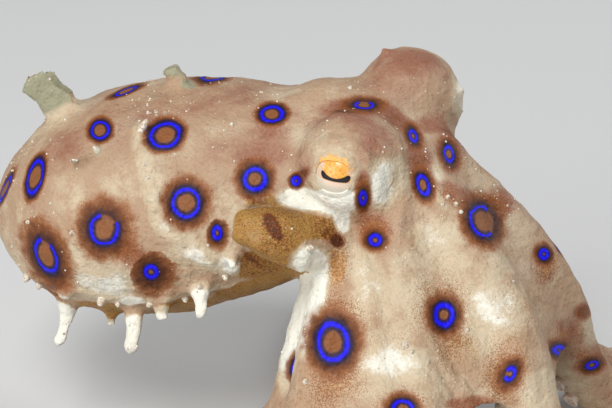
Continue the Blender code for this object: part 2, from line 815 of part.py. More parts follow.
def make_mouth(parts, head_clearance, scraps):
    """The round lip in the middle of the crown, with a shallow pit where the beak lies."""
    root = CROWN + MOUTH_AXIS * MM
    end = root + MOUTH_AXIS * MOUTH_LENGTH
    points = [root.lerp(end, far) for far, _ in MOUTH_RINGS]
    mouth = tube("mouth", points, [MOUTH_RADIUS * wide for _, wide in MOUTH_RINGS], 2, parts)
    pit = tube("mouth_pit", [end + MOUTH_AXIS * far for far in PIT_ENDS], PIT_RADII, 2, scraps)
    boolean(mouth, "DIFFERENCE", head_clearance)
    boolean(mouth, "DIFFERENCE", pit)
    tidy(mouth)
    keep_largest(mouth)
    return mouth


def web_root(arm, length):
    """Where the web joins an arm: inside it, but nearer to its outer side."""
    here, _, _, under = arm_frame(*arm_line(arm), length)
    return here - under * arm_radius(length) * WEB_LIFT


def web_midline(first, second, share):
    """A point of the line along the middle of the web between two arms."""
    reach = WEB_REACH_MIDDLE * share
    ends = [web_root(arm, max(0.0, reach)) for arm in (first, second)]
    return (ends[0] + ends[1]) / 2 + MOUTH_AXIS * min(0.0, reach)


def crown_middle(share):
    """The crown's own middle line, at the same share of the web's reach."""
    names = list(ARMS)
    spots = [web_midline(names[index - 1], names[index], share) for index in range(len(names))]
    return sum(spots, Vector()) / len(spots)


def make_web(parts):
    """The web: one thin skirt through all the arms, whose edge hangs in a bow from arm to arm."""
    names = list(ARMS)
    form = bmesh.new()
    rows = []
    for level in range(WEB_LEVELS + 1):
        share = level / WEB_LEVELS
        row = []
        for index, arm in enumerate(names):
            after = names[(index + 1) % len(names)]
            row += [web_root(arm, WEB_REACH_ARM * share), web_midline(arm, after, share)]
        rows.append([form.verts.new(point) for point in row])
    for upper, lower in zip(rows, rows[1:]):
        for index in range(len(upper)):
            after = (index + 1) % len(upper)
            form.faces.new((upper[index], upper[after], lower[after], lower[index]))
    mesh = bpy.data.meshes.new("web")
    form.to_mesh(mesh)
    form.free()
    web = add_object("web", mesh, parts)
    thick = web.modifiers.new("thickness", "SOLIDIFY")
    thick.thickness = WEB_THICKNESS
    thick.offset = 0
    return settle(web)


def midline_cutter(first, second, scraps):
    """A thin sheet along the middle of the web, from the crown's middle outwards, that parts two arms."""
    form = bmesh.new()
    rows = []
    steps = WEB_LEVELS + 2
    for step in range(steps + 1):
        share = SHEET_START + (SHEET_END - SHEET_START) * step / steps
        spot = web_midline(first, second, share)
        middle = crown_middle(share)
        out = (spot - middle).normalized()
        across = (middle + out * SHEET_INNER, spot, spot + out * SHEET_OUTER)
        rows.append([form.verts.new(point) for point in across])
    for upper, lower in zip(rows, rows[1:]):
        for index in range(2):
            form.faces.new((upper[index], upper[index + 1], lower[index + 1], lower[index]))
    mesh = bpy.data.meshes.new("cutter")
    form.to_mesh(mesh)
    form.free()
    cutter = add_object("cutter_" + first + second, mesh, scraps)
    thick = cutter.modifiers.new("thickness", "SOLIDIFY")
    thick.thickness = GAP
    thick.offset = 0
    return settle(cutter)


def make_crown(parts, bases, clearances):
    """Joins the arm bases to the web, clears the head, then parts them along the middle of each web."""
    names = list(ARMS)
    crown = make_web(parts)
    joined = make_collection("arm_bases")
    for base in bases:
        parts.objects.unlink(base)
        joined.objects.link(base)
    for arm in names:
        grow_suckers(arm, 0, BASE_END, joined)
    boolean(crown, "UNION", joined)
    remove_collection(joined)
    for clearance in clearances:
        boolean(crown, "DIFFERENCE", clearance)
    cutters = make_collection("cutters")
    for index, arm in enumerate(names):
        midline_cutter(arm, names[(index + 1) % len(names)], cutters)
    boolean(crown, "DIFFERENCE", cutters)
    remove_collection(cutters)
    marks = {"arm_" + arm + "_base": at_length(*arm_line(arm), BASE_END * 0.75) for arm in names}
    return split(crown, marks, parts)


def lay_on_floor(obj, floor):
    """Cuts away what would lie below the floor, which leaves small flats to stand on."""
    if min((obj.matrix_world @ vertex.co).z for vertex in obj.data.vertices) < 0:
        boolean(obj, "DIFFERENCE", floor)
    tidy(obj)
    keep_largest(obj)


def dress():
    """Gives each node its material."""
    made = {
        "head": skin_material("head_skin", SKIN, 0.45),
        "mantle": skin_material("mantle_skin", SKIN, 0.45),
        "arm": skin_material("arm_skin", PALE_SKIN, 0.5),
        "funnel": skin_material("funnel_skin", FUNNEL_SKIN, 0.45),
        "eye": skin_material("eye", EYE_COLOUR, 0.15),
        "mouth": skin_material("mouth", MOUTH_COLOUR, 0.4),
    }
    for obj in bpy.context.scene.objects:
        obj.data.materials.clear()
        obj.data.materials.append(made[obj.name.split("_")[0]])


def centre_on_floor():
    """Moves everything sideways so that the origin is below the middle of the whole."""
    spots = [vertex.co for obj in bpy.context.scene.objects for vertex in obj.data.vertices]
    middle = Vector((
        (min(spot.x for spot in spots) + max(spot.x for spot in spots)) / 2,
        (min(spot.y for spot in spots) + max(spot.y for spot in spots)) / 2,
        0,
    ))
    for obj in bpy.context.scene.objects:
        for vertex in obj.data.vertices:
            vertex.co -= middle
    return middle


def main():
    clear_scene()
    parts = make_collection("blue_ringed_octopus")
    scraps = make_collection("scraps")
    head = make_head(parts, scraps)
    make_eyes(parts)
    mantle = make_mantle(parts)
    head_clearance = swollen(head, CLEARANCE, scraps)
    mantle_clearance = swollen(mantle, CLEARANCE, scraps)
    funnel = make_funnel(parts, head_clearance, mantle_clearance, scraps)
    mouth = make_mouth(parts, head_clearance, scraps)
    clearances = [head_clearance, mantle_clearance]
    clearances += [swollen(piece, CLEARANCE, scraps) for piece in (funnel, mouth)]
    arms = [arm_lengths(arm, parts) for arm in ARMS]
    bases = make_crown(parts, [pieces[0] for pieces in arms], clearances)
    floor = box_behind("floor_cutter", Vector((0, 0, 0)), Vector((0, 0, -1)), scraps)
    for base in bases:
        lay_on_floor(base, floor)
    for arm, (_, middle, tip) in zip(ARMS, arms):
        for piece, start, end in ((middle, BASE_END, MIDDLE_END), (tip, MIDDLE_END, ARM_LENGTH)):
            suckers = make_collection("suckers")
            grow_suckers(arm, start, end, suckers)
            boolean(piece, "UNION", suckers)
            remove_collection(suckers)
            lay_on_floor(piece, floor)
    remove_collection(scraps)
    dress()
    centre_on_floor()


main()
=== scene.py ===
"""Looks of the life-size blue-ringed octopus.

One skin covers the whole animal, with its rings, patches and fine dots as procedural markings. The
eyes, the suckers and the small pale warts are pieces of their own. Sizes are those of the CAD
source, in metres, laid out about the same point of the floor and then moved onto the frame.
"""

import math
import random

import bmesh
import bpy
import numpy as np
from mathutils import Matrix, Vector, noise
from mathutils.bvhtree import BVHTree


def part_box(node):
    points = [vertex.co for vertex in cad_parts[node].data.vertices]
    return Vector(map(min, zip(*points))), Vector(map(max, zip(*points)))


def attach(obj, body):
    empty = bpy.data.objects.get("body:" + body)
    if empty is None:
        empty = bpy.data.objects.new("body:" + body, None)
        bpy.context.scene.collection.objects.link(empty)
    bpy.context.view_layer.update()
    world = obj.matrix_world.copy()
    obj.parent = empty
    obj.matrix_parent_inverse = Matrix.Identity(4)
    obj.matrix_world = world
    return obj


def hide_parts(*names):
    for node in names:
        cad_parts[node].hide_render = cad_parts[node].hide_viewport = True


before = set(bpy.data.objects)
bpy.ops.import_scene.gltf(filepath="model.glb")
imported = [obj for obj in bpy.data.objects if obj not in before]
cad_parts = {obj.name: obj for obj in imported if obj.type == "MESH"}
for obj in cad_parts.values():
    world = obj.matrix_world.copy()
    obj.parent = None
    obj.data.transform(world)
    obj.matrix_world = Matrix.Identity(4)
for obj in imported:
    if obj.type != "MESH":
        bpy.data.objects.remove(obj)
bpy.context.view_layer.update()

MM = 0.001
SEED = 7

# Head, from the CAD source.
EYE_MIDDLE = Vector((-0.8, 0.2, 46.6)) * MM
EYE_SPACING = 15.6 * MM
HEAD_ROLL = math.radians(10)
MOUND_RADIUS = 6.8 * MM
EYE_RADIUS = 3.7 * MM
EYE_OUT = 3.4 * MM
EYE_AIM = Vector((0.10, 0.95, 0.30))
HEAD_LUMPS = (
    ((-3.0, 0.0, 40.5), (11.0, 10.6, 8.8)),
    ((-10.5, -0.3, 38.6), (8.5, 12.4, 12.2)),
    ((2.2, 0.0, 40.2), (7.6, 9.6, 7.2)),
    ((-7.0, 0.4, 44.6), (8.6, 8.0, 7.6)),
)
# Small horns of skin: root, aim, and length and width in mm.
HORNS = (
    ((-3.6, 6.6, 53.2), (-0.35, 0.35, 0.9), 2.2, 1.7),
    ((5.2, 9.6, 49.6), (0.8, 0.3, 0.3), 1.2, 1.8),
)

# Mantle and its flaps, from the CAD source.
MANTLE_TIP = Vector((-51.4, -8.4, 28.0)) * MM
NECK = Vector((-11.6, 0.0, 38.2)) * MM
MANTLE_HALF_WIDTH = 16.6 * MM
MANTLE_HALF_HEIGHT = 14.9 * MM
MANTLE_WIDEST = 0.56
NECK_SHARE = 0.79
# How full the mantle is toward its tip and its neck, and how far its skin leans along it.
TIP_FULLNESS = 2.15
NECK_FULLNESS = 1.7
MANTLE_LEAN = 0.9
# Its rings: how many, the first one's place in steps, and how far they run on past the neck.
MANTLE_STEPS = 56
MANTLE_FIRST_RING = 0.15
MANTLE_RUN_ON = 1.02
MANTLE_SIDES = 64
# Flaps: share of the way to the neck, angle up from level, length, width and thickness in mm, and
# how far they lean back.
FLAPS = (
    (0.24, -46, 6.4, 3.2, 1.7, 0.12),
    (0.29, -26, 1.8, 2.6, 1.8, 0.10),
    (0.36, -56, 2.2, 2.4, 1.8, 0.0),
    (0.47, -44, 6.0, 3.4, 1.8, 0.05),
    (0.58, -38, 2.6, 3.0, 1.8, 0.0),
    (0.72, -31, 4.4, 3.0, 1.7, -0.05),
    (0.86, -14, 2.4, 2.2, 1.4, 0.1),
    (0.31, 84, 6.8, 5.2, 1.2, 0.42),
    (0.68, 92, 2.8, 3.0, 1.2, 0.45),
    (0.44, 42, 2.2, 2.6, 1.5, 0.1),
)
# A flap thinner than this is a leaf, which keeps its width to the end and thins toward it.
LEAF_THICKNESS = 1.3
LEAF_THINNING = 0.45
# How far other flaps narrow, and how far the low ones hang down.
FLAP_TAPER = 0.42
FLAP_TAPER_POWER = 0.8
FLAP_DROP = 0.75
# Where a flap's rounded top starts and how long it is; its waves, as strength and turns; its bend.
FLAP_TOP = (0.8, 0.205)
FLAP_WAVES = (0.10, 9)
FLAP_BEND = (0.25, 3.0)
FLAP_STEPS = 12
FLAP_SIDES = 14

# Crown, arms and web, from the CAD source.
CROWN = Vector((1.5, 0.0, 38.2)) * MM
MOUTH_AXIS = Vector((0.634, 0.0, -0.773)).normalized()
CROWN_RADIUS = 6.5 * MM
ARM_LENGTH = 88 * MM
ARM_ROOT_RADIUS = 4.4 * MM
ARM_TIP_RADIUS = 0.42 * MM
ARM_TAPER = 1.6
ROOT_INSET = 3.0 * MM
LANDING_HEIGHT = 3.75 * MM
LYING_SHARE = 1.06
# An arm's line: its steps on the floor, how late it curls, and the length in which it settles from
# the height of its landing. Its underside turns inward from a height on, over a span of height.
FLOOR_STEP = 0.8 * MM
CURL_POWER = 1.25
SETTLING_LENGTH = 9 * MM
UNDERSIDE_HEIGHTS = (5 * MM, 20 * MM)
ARM_STEPS = 96
ARM_SIDES = 20
# Arms: angle round the mouth, knee, shin and landing in mm, heading on the floor, and curl.
ARMS = {
    "R1": (22.5, (19.3, -6.8, 29.0), (28.5, -12.3, 13.5), (39.5, -19.0), -28, 105),
    "R2": (67.5, (11.5, -14.5, 26.0), (18.0, -22.5, 12.0), (27.0, -32.0), -48, 95),
    "R3": (112.5, (-0.2, -13.4, 25.0), (-0.5, -21.5, 11.5), (-4.0, -32.0), -108, -75),
    "R4": (157.5, (-5.0, -8.3, 21.0), (-6.8, -13.0, 10.5), (-15.0, -18.5), -155, -85),
    "L4": (-157.5, (-6.2, 6.3, 20.5), (-9.8, 11.0, 10.0), (-16.0, 18.0), 128, -50),
    "L3": (-112.5, (-0.5, 13.0, 24.0), (-1.5, 20.5, 11.0), (-3.5, 31.0), 98, 45),
    "L2": (-67.5, (9.5, 13.8, 25.0), (12.5, 21.5, 12.0), (18.0, 32.0), 55, 90),
    "L1": (-22.5, (18.5, 6.5, 28.5), (23.0, 11.5, 13.5), (32.0, 18.5), 33, 85),
}
WEB_THICKNESS = 1.0 * MM
WEB_LIFT = 0.6
WEB_REACH_ARM = 35.5 * MM
WEB_REACH_MIDDLE = 28 * MM
WEB_LEVELS = 26
WEB_COLUMNS = 8
FUNNEL_POINTS = (
    (-2.5, -6.0, 35.6), (-3.4, -10.8, 36.0), (-5.4, -14.8, 37.4), (-8.4, -17.6, 38.8),
    (-11.4, -19.0, 39.4),
)
FUNNEL_RADII = (4.4, 4.2, 3.7, 3.2, 2.75)
# The funnel's rounded end and its bore: distance out of its end in mm, and share of its radius.
FUNNEL_RIM = (
    (-3.4, 1.0), (-2.6, 0.98), (-1.9, 0.93), (-1.25, 0.86), (-0.7, 0.76), (-0.25, 0.64),
    (0.05, 0.52), (0.2, 0.42), (0.15, 0.34), (-0.25, 0.29), (-1.2, 0.24), (-2.9, 0.18),
)
FUNNEL_SIDES = 28
# How many rings of its straight wall the rounded end takes the place of.
FUNNEL_END_RINGS = 6
# The step of its line from which it is free of the crown.
FUNNEL_FREE = 10
MOUTH_RADIUS = 1.9 * MM
MOUTH_LENGTH = 6.0 * MM

# Suckers in two rows down each arm; their outline is in (radius, height) pairs.
SUCKER_START = 8.0 * MM
SUCKER_SPACING = 1.12
SUCKER_BETWEEN = 0.12 * MM
SUCKER_SHARE = 0.33
SUCKER_SPREAD = math.radians(31)
SUCKER_LEAST = 0.26 * MM
SUCKER_SIZE_SPREAD = (0.94, 1.06)
SUCKER_SEAT = 0.95
SUCKER_SIDES = 14
SUCKER_PROFILE = (
    (0.80, -0.60), (0.78, 0.15), (0.98, 0.45), (1.0, 0.60), (0.90, 0.68), (0.66, 0.60),
    (0.46, 0.30), (0, 0.18),
)

# How far suckers and warts stay above the floor.
FLOOR_GAP = 0.02 * MM

# Warts: how many, their least and greatest radius, their outline as (radius, height) pairs, the
# box that they are drawn in (mm), how far from the skin a draw may fall, how far down the skin may
# face, and how far they stay from the eyes and, in radii, from the rings.
WART_COUNT = 800
WART_SIZES = (0.06 * MM, 0.17 * MM)
WART_PROFILE = ((1.25, -0.4), (1.0, 0.1), (0.8, 0.5), (0.5, 0.82), (0, 1.0))
WART_SIDES = 9
WART_BOX = ((-52, 22), (-22, 22), (18, 56))
WART_DRAW_REACH = 8 * MM
WART_LEAST_RISE = -0.35
WART_EYE_GAP = 1.2 * MM
WART_RING_GAP = 1.5
# Warts crowd together: over what size, and the chance of one as a share and its change. Most are
# small, by a power of the draw. Papillae lean up or down by a share at most.
WART_CROWD_SIZE = 5 * MM
WART_CHANCE = (0.25, 1.5)
WART_SIZE_POWER = 2.2
PAPILLA_LEAN = 0.15

# Skin mesh. Hollows fill for more rounds on the head, between the heights where it starts.
SKIN_VOXEL = 0.38 * MM
FILL_ROUNDS = 24
HEAD_FILL_ROUNDS = 60
HEAD_STARTS = (36 * MM, 40 * MM)
# How far a round moves a point in a hollow, and elsewhere.
HOLLOW_STEP = 0.75
OTHER_STEP = 0.08
FLESH_NODES = [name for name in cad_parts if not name.startswith("eye_")]
# Wrinkles: height in mm, size and seed. Together they lie a little lower than the plain skin.
WRINKLES = ((0.30, 5.5 * MM, 1), (0.15, 1.7 * MM, 2), (0.06, 0.95 * MM, 9))
WRINKLE_LEVEL = 0.08
# The heights, and the distances from an eye's front, over which they grow to their full size.
WRINKLE_HEIGHTS = (4 * MM, 20 * MM)
WRINKLE_EYE_GAPS = (3 * MM, 6 * MM)
# What is left of them low down, and at the eyes.
WRINKLE_LEAST = (0.35, 0.25)

# Eye opening: half-width and half-height, how square it is, where its edge is in its own units, and
# how deep the skin sinks in it. The lids round it: their rise and how much of it they have, with
# more on the upper and less on the lower, their gap to the eyeball, and in units of the opening
# where their ridge is, how wide it is and where it ends.
OPENING = (2.10 * MM, 1.85 * MM)
OPENING_SQUARENESS = 2.4
OPENING_EDGE = (0.90, 1.10)
OPENING_DEPTH = 1.5 * MM
LID_RISE = 0.20 * MM
LID_SHARE = 0.8
LID_UPPER_MORE = 0.35
LID_GAP = 0.12 * MM
LID_RIDGE = (1.32, 0.26)
LID_END = (1.5, 2.3)
EYE_REGION = 4.6 * MM
# The pupil, in mm: its middle on the eye, its slope and bend, and its size.
PUPIL_PLACE = (-0.36, 0.24)
PUPIL_SLOPE = 0.06
PUPIL_BEND = 0.15
PUPIL_HALF_HEIGHT = 0.21
PUPIL_WIDENING = 0.11
PUPIL_HALF_WIDTH = 1.42
PUPIL_END = 0.42

# The photo: its size in pixels, the camera's angles, lens and distance, and how far its middle lies
# from the near eye's pupil.
PHOTO_WIDTH = 612
PHOTO_HEIGHT = 408
CAMERA_AZIMUTH = math.radians(28)
CAMERA_ELEVATION = math.radians(24)
CAMERA_DISTANCE = 350 * MM
CAMERA_LENS = 171.6
CAMERA_SENSOR = 36.0
PUPIL = Vector((0.0, -13.7, 46.0)) * MM
AIM_RIGHT = -3.48 * MM
AIM_UP = -3.24 * MM
PIXEL = 0.12 * MM
# A point this many pixels outside the frame, or this deep in the skin, still counts as seen.
SEEN_MARGIN = 8
SEEN_DEPTH = 1.5 * MM

# Rings that the photo shows. Each: place, width and height in the photo's pixels, turn of its
# long side from level, width of the blue line in pixels, where the line is open (degrees from the
# right, upwards) and how wide (0 for a closed ring), and how far the dark rim reaches, in radii.
PHOTO_RINGS = (
    (100, 130, 21, 21, 0, 3.4, 0, 0, 0.9),
    (165, 135, 34, 28, 15, 4.2, 0, 0, 0.75),
    (272, 114, 26, 19, 0, 4.2, 0, 0, 0.9),
    (35, 177, 40, 18, 75, 3.8, 0, 0, 0.7),
    (186, 203, 31, 33, 0, 5.0, 0, 0, 1.3),
    (255, 179, 26, 26, 0, 5.4, 0, 0, 1.3),
    (104, 229, 33, 34, 0, 4.2, 65, 75, 1.7),
    (46, 256, 41, 24, 112, 4.4, 75, 50, 2.0),
    (151, 272, 18, 18, 0, 6.4, 0, 0, 4.6),
    (217, 233, 12, 17, 0, 5.2, 0, 0, 2.6),
    (5, 189, 34, 7, 62, 2.6, 0, 0, 1.2),
    (3, 248, 9, 26, 0, 3.5, 0, 0, 2.0),
    (126, 91, 26, 6, 22, 2.2, 0, 0, 1.5),
    (212, 78, 24, 6, 0, 2.2, 0, 0, 1.6),
    (305, 77, 23, 8, -12, 3.2, 0, 0, 1.5),
    (296, 181, 11, 12, 0, 4.8, 0, 0, 1.5),
    (363, 198, 9, 17, 0, 4.5, 0, 0, 2.2),
    (364, 105, 22, 9, 0, 3.0, 90, 70, 2.2),
    (413, 136, 10, 17, 15, 4.2, 0, 0, 2.0),
    (423, 185, 14, 24, 15, 4.6, 0, 0, 1.5),
    (449, 154, 12, 20, 10, 4.0, 0, 0, 2.0),
    (375, 240, 15, 14, 0, 5.0, 0, 0, 2.0),
    (483, 221, 34, 28, 115, 3.6, 0, 110, 1.3),
    (544, 254, 13, 14, 0, 5.6, 0, 0, 2.2),
    (583, 290, 15, 25, 0, 3.8, 0, 0, 1.0),
    (333, 342, 36, 43, 0, 7.0, 0, 0, 1.3),
    (444, 315, 23, 27, 0, 6.6, 0, 0, 1.6),
    (403, 410, 24, 22, 0, 4.6, 0, 0, 1.2),
    (510, 374, 12, 18, -25, 5.0, 170, 60, 2.8),
    (559, 350, 12, 12, 0, 5.4, 0, 0, 2.6),
    (592, 365, 17, 10, 10, 4.4, 0, 0, 2.6),
)

# A ring whose line has no opening, and a distance from any ring that counts as far, in its radii.
CLOSED = 2.0
FAR_REACH = 9.0
# A ring on skin that faces the camera less than this is drawn flat on the skin.
OBLIQUE = 0.28
# Skin that a ring's field covers: how many of its radii beyond its rim and how far beyond that it
# lies, and the least that it faces the ring's way.
RING_FIELD = (2.2, 1.0 * MM)
RING_FIELD_FACING = -0.1
# Skin whose mean facing a photo ring takes: how near it lies and the least that it faces its way.
RING_SEAT = 1.2 * MM
RING_SEAT_FACING = 0.3
# How far apart rings by rule lie, in the sum of their radii, and how much more on the far side.
RING_SPACING = 1.45
FAR_SIDE_SPACING = 1.3
# How far the far side's rings stray, in mm, and the height on the crown below which there are none.
RING_STRAY = 1.2
RING_LEAST_HEIGHT = 30 * MM
# Rings by rule: their sizes' spread, and the widest line on the far side, in radii.
RING_SIZE_SPREAD = (0.85, 1.1)
RING_WIDEST_LINE = 0.6

# Rings by rule on the arms: distances along each arm and how far they stray, the ring's size at
# the arm's root and tip and its most in the arm's radii, its angle off the arm's back, and in its
# own radii how wide its line may be and how far its dark rim reaches.
ARM_RING_PLACES = (17, 28, 38, 47, 55, 62, 68, 73.5, 78)
ARM_RING_STRAY = 1.5
ARM_RING_SIZE = (2.0, 0.5)
ARM_RING_MOST = 0.72
ARM_RING_SIDE = 32
ARM_RING_LINES = (0.22, 0.28, 0.4)
ARM_RING_RIM = 1.1

# Patches of plainer colour in the photo: place, half-width, half-height, turn, how sharp their
# edge is (0 to 1), and how much whiter, browner, more ochre, greener and more rust-dotted the skin
# is there. The last two are left out where both are 0.
PATCHES = (
    (302, 199, 24, 12, 3, 0.9, 1.8, -1.2, -1.5),
    (334, 202, 24, 13, 0, 0.9, 1.8, -1.2, -1.5),
    (342, 219, 8, 14, -12, 0.9, 1.8, -1.2, -1.5),
    (303, 226, 24, 13, 6, 0.4, -0.6, -0.3, 1.3, 0, 0.1),
    (325, 228, 14, 10, 0, 0.2, -0.3, 0.1, 0.8, 0, 0.2),
    (266, 262, 34, 15, -16, 0.4, -0.9, 0.0, 1.6, 0, 0.3),
    (318, 138, 38, 16, 6, 0.1, 0.5, -0.5, 0),
    (382, 180, 14, 22, 0, 0.2, 0.6, -0.3, 0),
    (436, 182, 8, 22, -20, 0.2, 0.8, -0.4, 0),
    (142, 146, 10, 24, -12, 0.2, 0.6, -0.5, 0),
    (150, 178, 13, 26, -8, 0.2, 0.6, -0.5, 0),
    (160, 214, 13, 22, -25, 0.2, 0.5, -0.4, 0),
    (184, 244, 28, 11, 38, 0.2, 0.6, -0.4, 0),
    (216, 262, 26, 10, 20, 0.2, 0.7, -0.4, 0),
    (120, 190, 20, 14, 0, 0.1, 0.3, -0.1, 0),
    (78, 235, 9, 36, 0, 0.1, 0.5, -0.4, 0),
    (110, 284, 40, 13, 4, 0.1, 0.6, -0.4, 0),
    (70, 110, 24, 20, 0, 0.1, 0.2, -0.2, 0, 0.25, 0),
    (190, 84, 12, 6, 0, 0.4, 0, -0.3, 0, 0.7, 0),
    (97, 150, 6, 7, 0, 0.5, 0, -0.3, 0, 0.7, 0),
    (232, 130, 24, 12, 0, 0.1, 0.4, -0.3, 0),
    (215, 160, 14, 26, 0, 0.1, 0.25, 0.0, 0),
    (302, 282, 17, 44, 14, 0.5, 1.9, -0.9, -0.4, 0, -0.5),
    (308, 260, 18, 13, 0, 0.5, 1.8, -0.9, -1.3, 0, -0.5),
    (317, 282, 11, 34, 6, 0.4, 1.7, -0.9, 0, 0, -0.7),
    (308, 328, 8, 30, 8, 0.3, 1.2, -0.8, 0, 0, -0.3),
    (292, 330, 12, 60, 6, 0.4, 1.7, -0.8, -0.4, 0, -0.4),
    (430, 300, 130, 60, 0, 0.0, 0.32, -0.35, 0),
    (450, 380, 130, 50, 0, 0.0, 0.32, -0.35, 0),
    (366, 285, 16, 34, 0, 0.2, 0.7, -0.2, 0),
    (392, 362, 34, 16, 0, 0.2, 0.8, -0.3, 0),
    (500, 308, 26, 20, 20, 0.2, 0.8, -0.3, 0),
    (462, 352, 20, 26, -30, 0.1, -0.3, 0.3, 0.4, 0, 0.1),
    (540, 388, 26, 16, 0, 0.2, 0.6, -0.2, 0),
    (520, 230, 24, 18, 30, 0.1, 0.35, -0.2, 0),
    (438, 236, 24, 16, 0, 0.2, 0.7, -0.2, 0),
    (442, 262, 30, 12, 0, 0.1, 0.4, 0.0, 0, 0, 0.2),
    (590, 330, 10, 22, 0, 0.4, 0.5, -0.2, 0),
    (460, 98, 10, 22, -14, 0.2, 0.7, -0.5, 0),
    (396, 60, 40, 16, 0, 0.1, -0.55, 0.25, 0),
    (450, 150, 14, 26, -10, 0.1, -0.3, 0.5, 0, 0, 0.2),
    (396, 70, 26, 16, 10, 0.1, 0.25, 0.0, 0),
    (374, 134, 32, 16, 34, 0.1, -0.7, 0.60, 0),
    (348, 108, 28, 9, 0, 0.1, -0.8, 0.95, 0, 0, 0.2),
    (400, 92, 26, 22, 20, 0.1, -0.2, 0.2, 0),
    (396, 120, 26, 9, 38, 0.1, -0.8, 1.05, 0, 0, 0.3),
    (420, 160, 11, 34, -16, 0.1, -0.8, 1.0, 0, 0, 0.3),
    (458, 196, 28, 11, 25, 0.1, -0.7, 0.9, 0, 0, 0.5),
    (496, 208, 14, 18, 30, 0.1, -0.7, 0.9, 0, 0, 0.6),
    (302, 175, 11, 5, -36, 0.1, -0.6, 1.3, 0, 0, 0.4),
    (363, 191, 8, 17, 0, 0.1, -0.9, 1.2, 0, 0, 0.6),
    (370, 224, 16, 18, 0, 0.1, -0.5, 0.7, 0, 0, 0.4),
    (190, 100, 70, 18, -4, 0.1, -0.5, 0.45, 0),
    (240, 150, 44, 26, 0, 0.1, -0.3, 0.35, 0),
    (60, 150, 30, 22, -30, 0.1, -0.3, 0.4, 0),
    (60, 276, 22, 14, 20, 0.1, -0.4, 0.7, 0, 0, 0.6),
    (128, 250, 20, 13, 34, 0.1, -0.5, 0.9, 0, 0, 0.7),
    (3, 250, 12, 26, 0, 0.4, -0.8, 1.6, 0, 0, 0.5),
    (338, 262, 10, 24, 4, 0.2, 0.45, -0.4, 0, 0, 1.15),
    (337, 241, 6, 8, -40, 0.4, -0.7, 2.7, -0.9, 0, -1.2),
    (333, 238, 12, 7, 10, 0.1, -0.2, 0.2, 0.3, 0, 0.8),
    (333, 342, 38, 52, 0, 0.1, -0.1, 0.2, 0, 0, 0.75),
    (446, 322, 26, 36, 0, 0.1, -0.1, 0.2, 0, 0, 0.60),
    (508, 372, 22, 34, 15, 0.1, -0.2, 0.3, 0, 0, 0.70),
    (558, 344, 22, 20, 0, 0.1, -0.2, 0.3, 0, 0, 0.60),
    (544, 262, 14, 20, 0, 0.1, -0.2, 0.3, 0, 0, 0.55),
    (592, 358, 16, 13, 0, 0.1, -0.3, 0.5, 0, 0, 0.70),
    (403, 404, 26, 13, 0, 0.1, -0.1, 0.2, 0, 0, 0.60),
    (375, 238, 16, 16, 0, 0.1, -0.2, 0.3, 0, 0, 0.50),
    (273, 227, 6, 15, -30, 0.5, -0.8, 2.4, -0.6),
    (264, 200, 21, 8, 0, 0.3, 0.1, 0.1, 0.75, 0, 0.1),
    (258, 197, 6, 4, 0, 0.2, 0.6, 0.0, -0.6),
    (256, 237, 12, 9, 0, 0.1, 0.6, -0.3, -0.45),
    (251, 258, 16, 3, 42, 0.3, -0.3, 0.9, 0.25, 0, 0.5),
    (240, 211, 6, 6, 0, 0.2, 0.2, 0.0, 0.5),
    (272, 380, 10, 36, 8, 0.5, -0.6, 0.3, 0.9, 0, 0.3),
    (584, 312, 10, 8, 0, 0.2, -0.8, 1.4, 0, 0, 0.4),
    (64, 306, 15, 12, 0, 0.4, 1.0, -0.6, -1.8),
    (136, 306, 16, 12, 0, 0.4, 1.0, -0.6, -1.8),
    (202, 292, 13, 11, 0, 0.4, 1.0, -0.6, -1.8),
    (232, 268, 8, 8, 0, 0.4, 1.0, -0.6, -1.8),
    (572, 338, 16, 20, 0, 0.1, -0.5, 0.7, 0, 0, 0.3),
    (470, 404, 24, 8, 0, 0.3, -0.8, 1.4, 0, 0, 0.4),
)

# Folds and ridges of the skin in the photo: height and half-width in mm (a groove has a negative
# height), then the line they follow in the photo's pixels.
FOLDS = (
    (0.60, 1.2, (138, 126), (145, 150), (151, 178), (156, 206)),
    (0.45, 1.2, (156, 206), (172, 234), (200, 254), (228, 264)),
    (0.35, 1.0, (22, 268), (70, 292), (130, 300), (200, 292), (245, 262)),
    (0.30, 0.7, (302, 160), (312, 147), (334, 141), (356, 146), (370, 160)),
    (-0.22, 0.45, (312, 190), (324, 195), (342, 196), (356, 190)),
    (-0.16, 0.4, (306, 168), (315, 156), (334, 150), (352, 154), (362, 164)),
    (-0.20, 0.6, (372, 150), (386, 172), (390, 200), (380, 225)),
    (0.30, 0.8, (395, 140), (402, 170), (404, 205), (398, 232)),
    (-0.25, 0.5, (436, 335), (450, 360), (468, 382), (482, 400)),
    (-0.18, 0.4, (446, 340), (460, 362), (478, 380)),
    (-0.18, 0.4, (428, 345), (440, 372), (456, 396)),
    (-0.20, 0.5, (520, 300), (532, 330), (540, 365), (542, 400)),
    (0.35, 0.8, (305, 250), (294, 285), (284, 330), (280, 380)),
    (0.75, 1.1, (248, 202), (254, 197), (264, 195), (276, 196), (284, 202)),
    (0.25, 0.7, (345, 78), (362, 62), (380, 52)),
    (-0.20, 0.5, (50, 150), (58, 158), (60, 170)),
)

# How uneven they are: the noise's strength, size and seed.
FOLD_NOISE = (0.9, 1.1 * MM, 6)

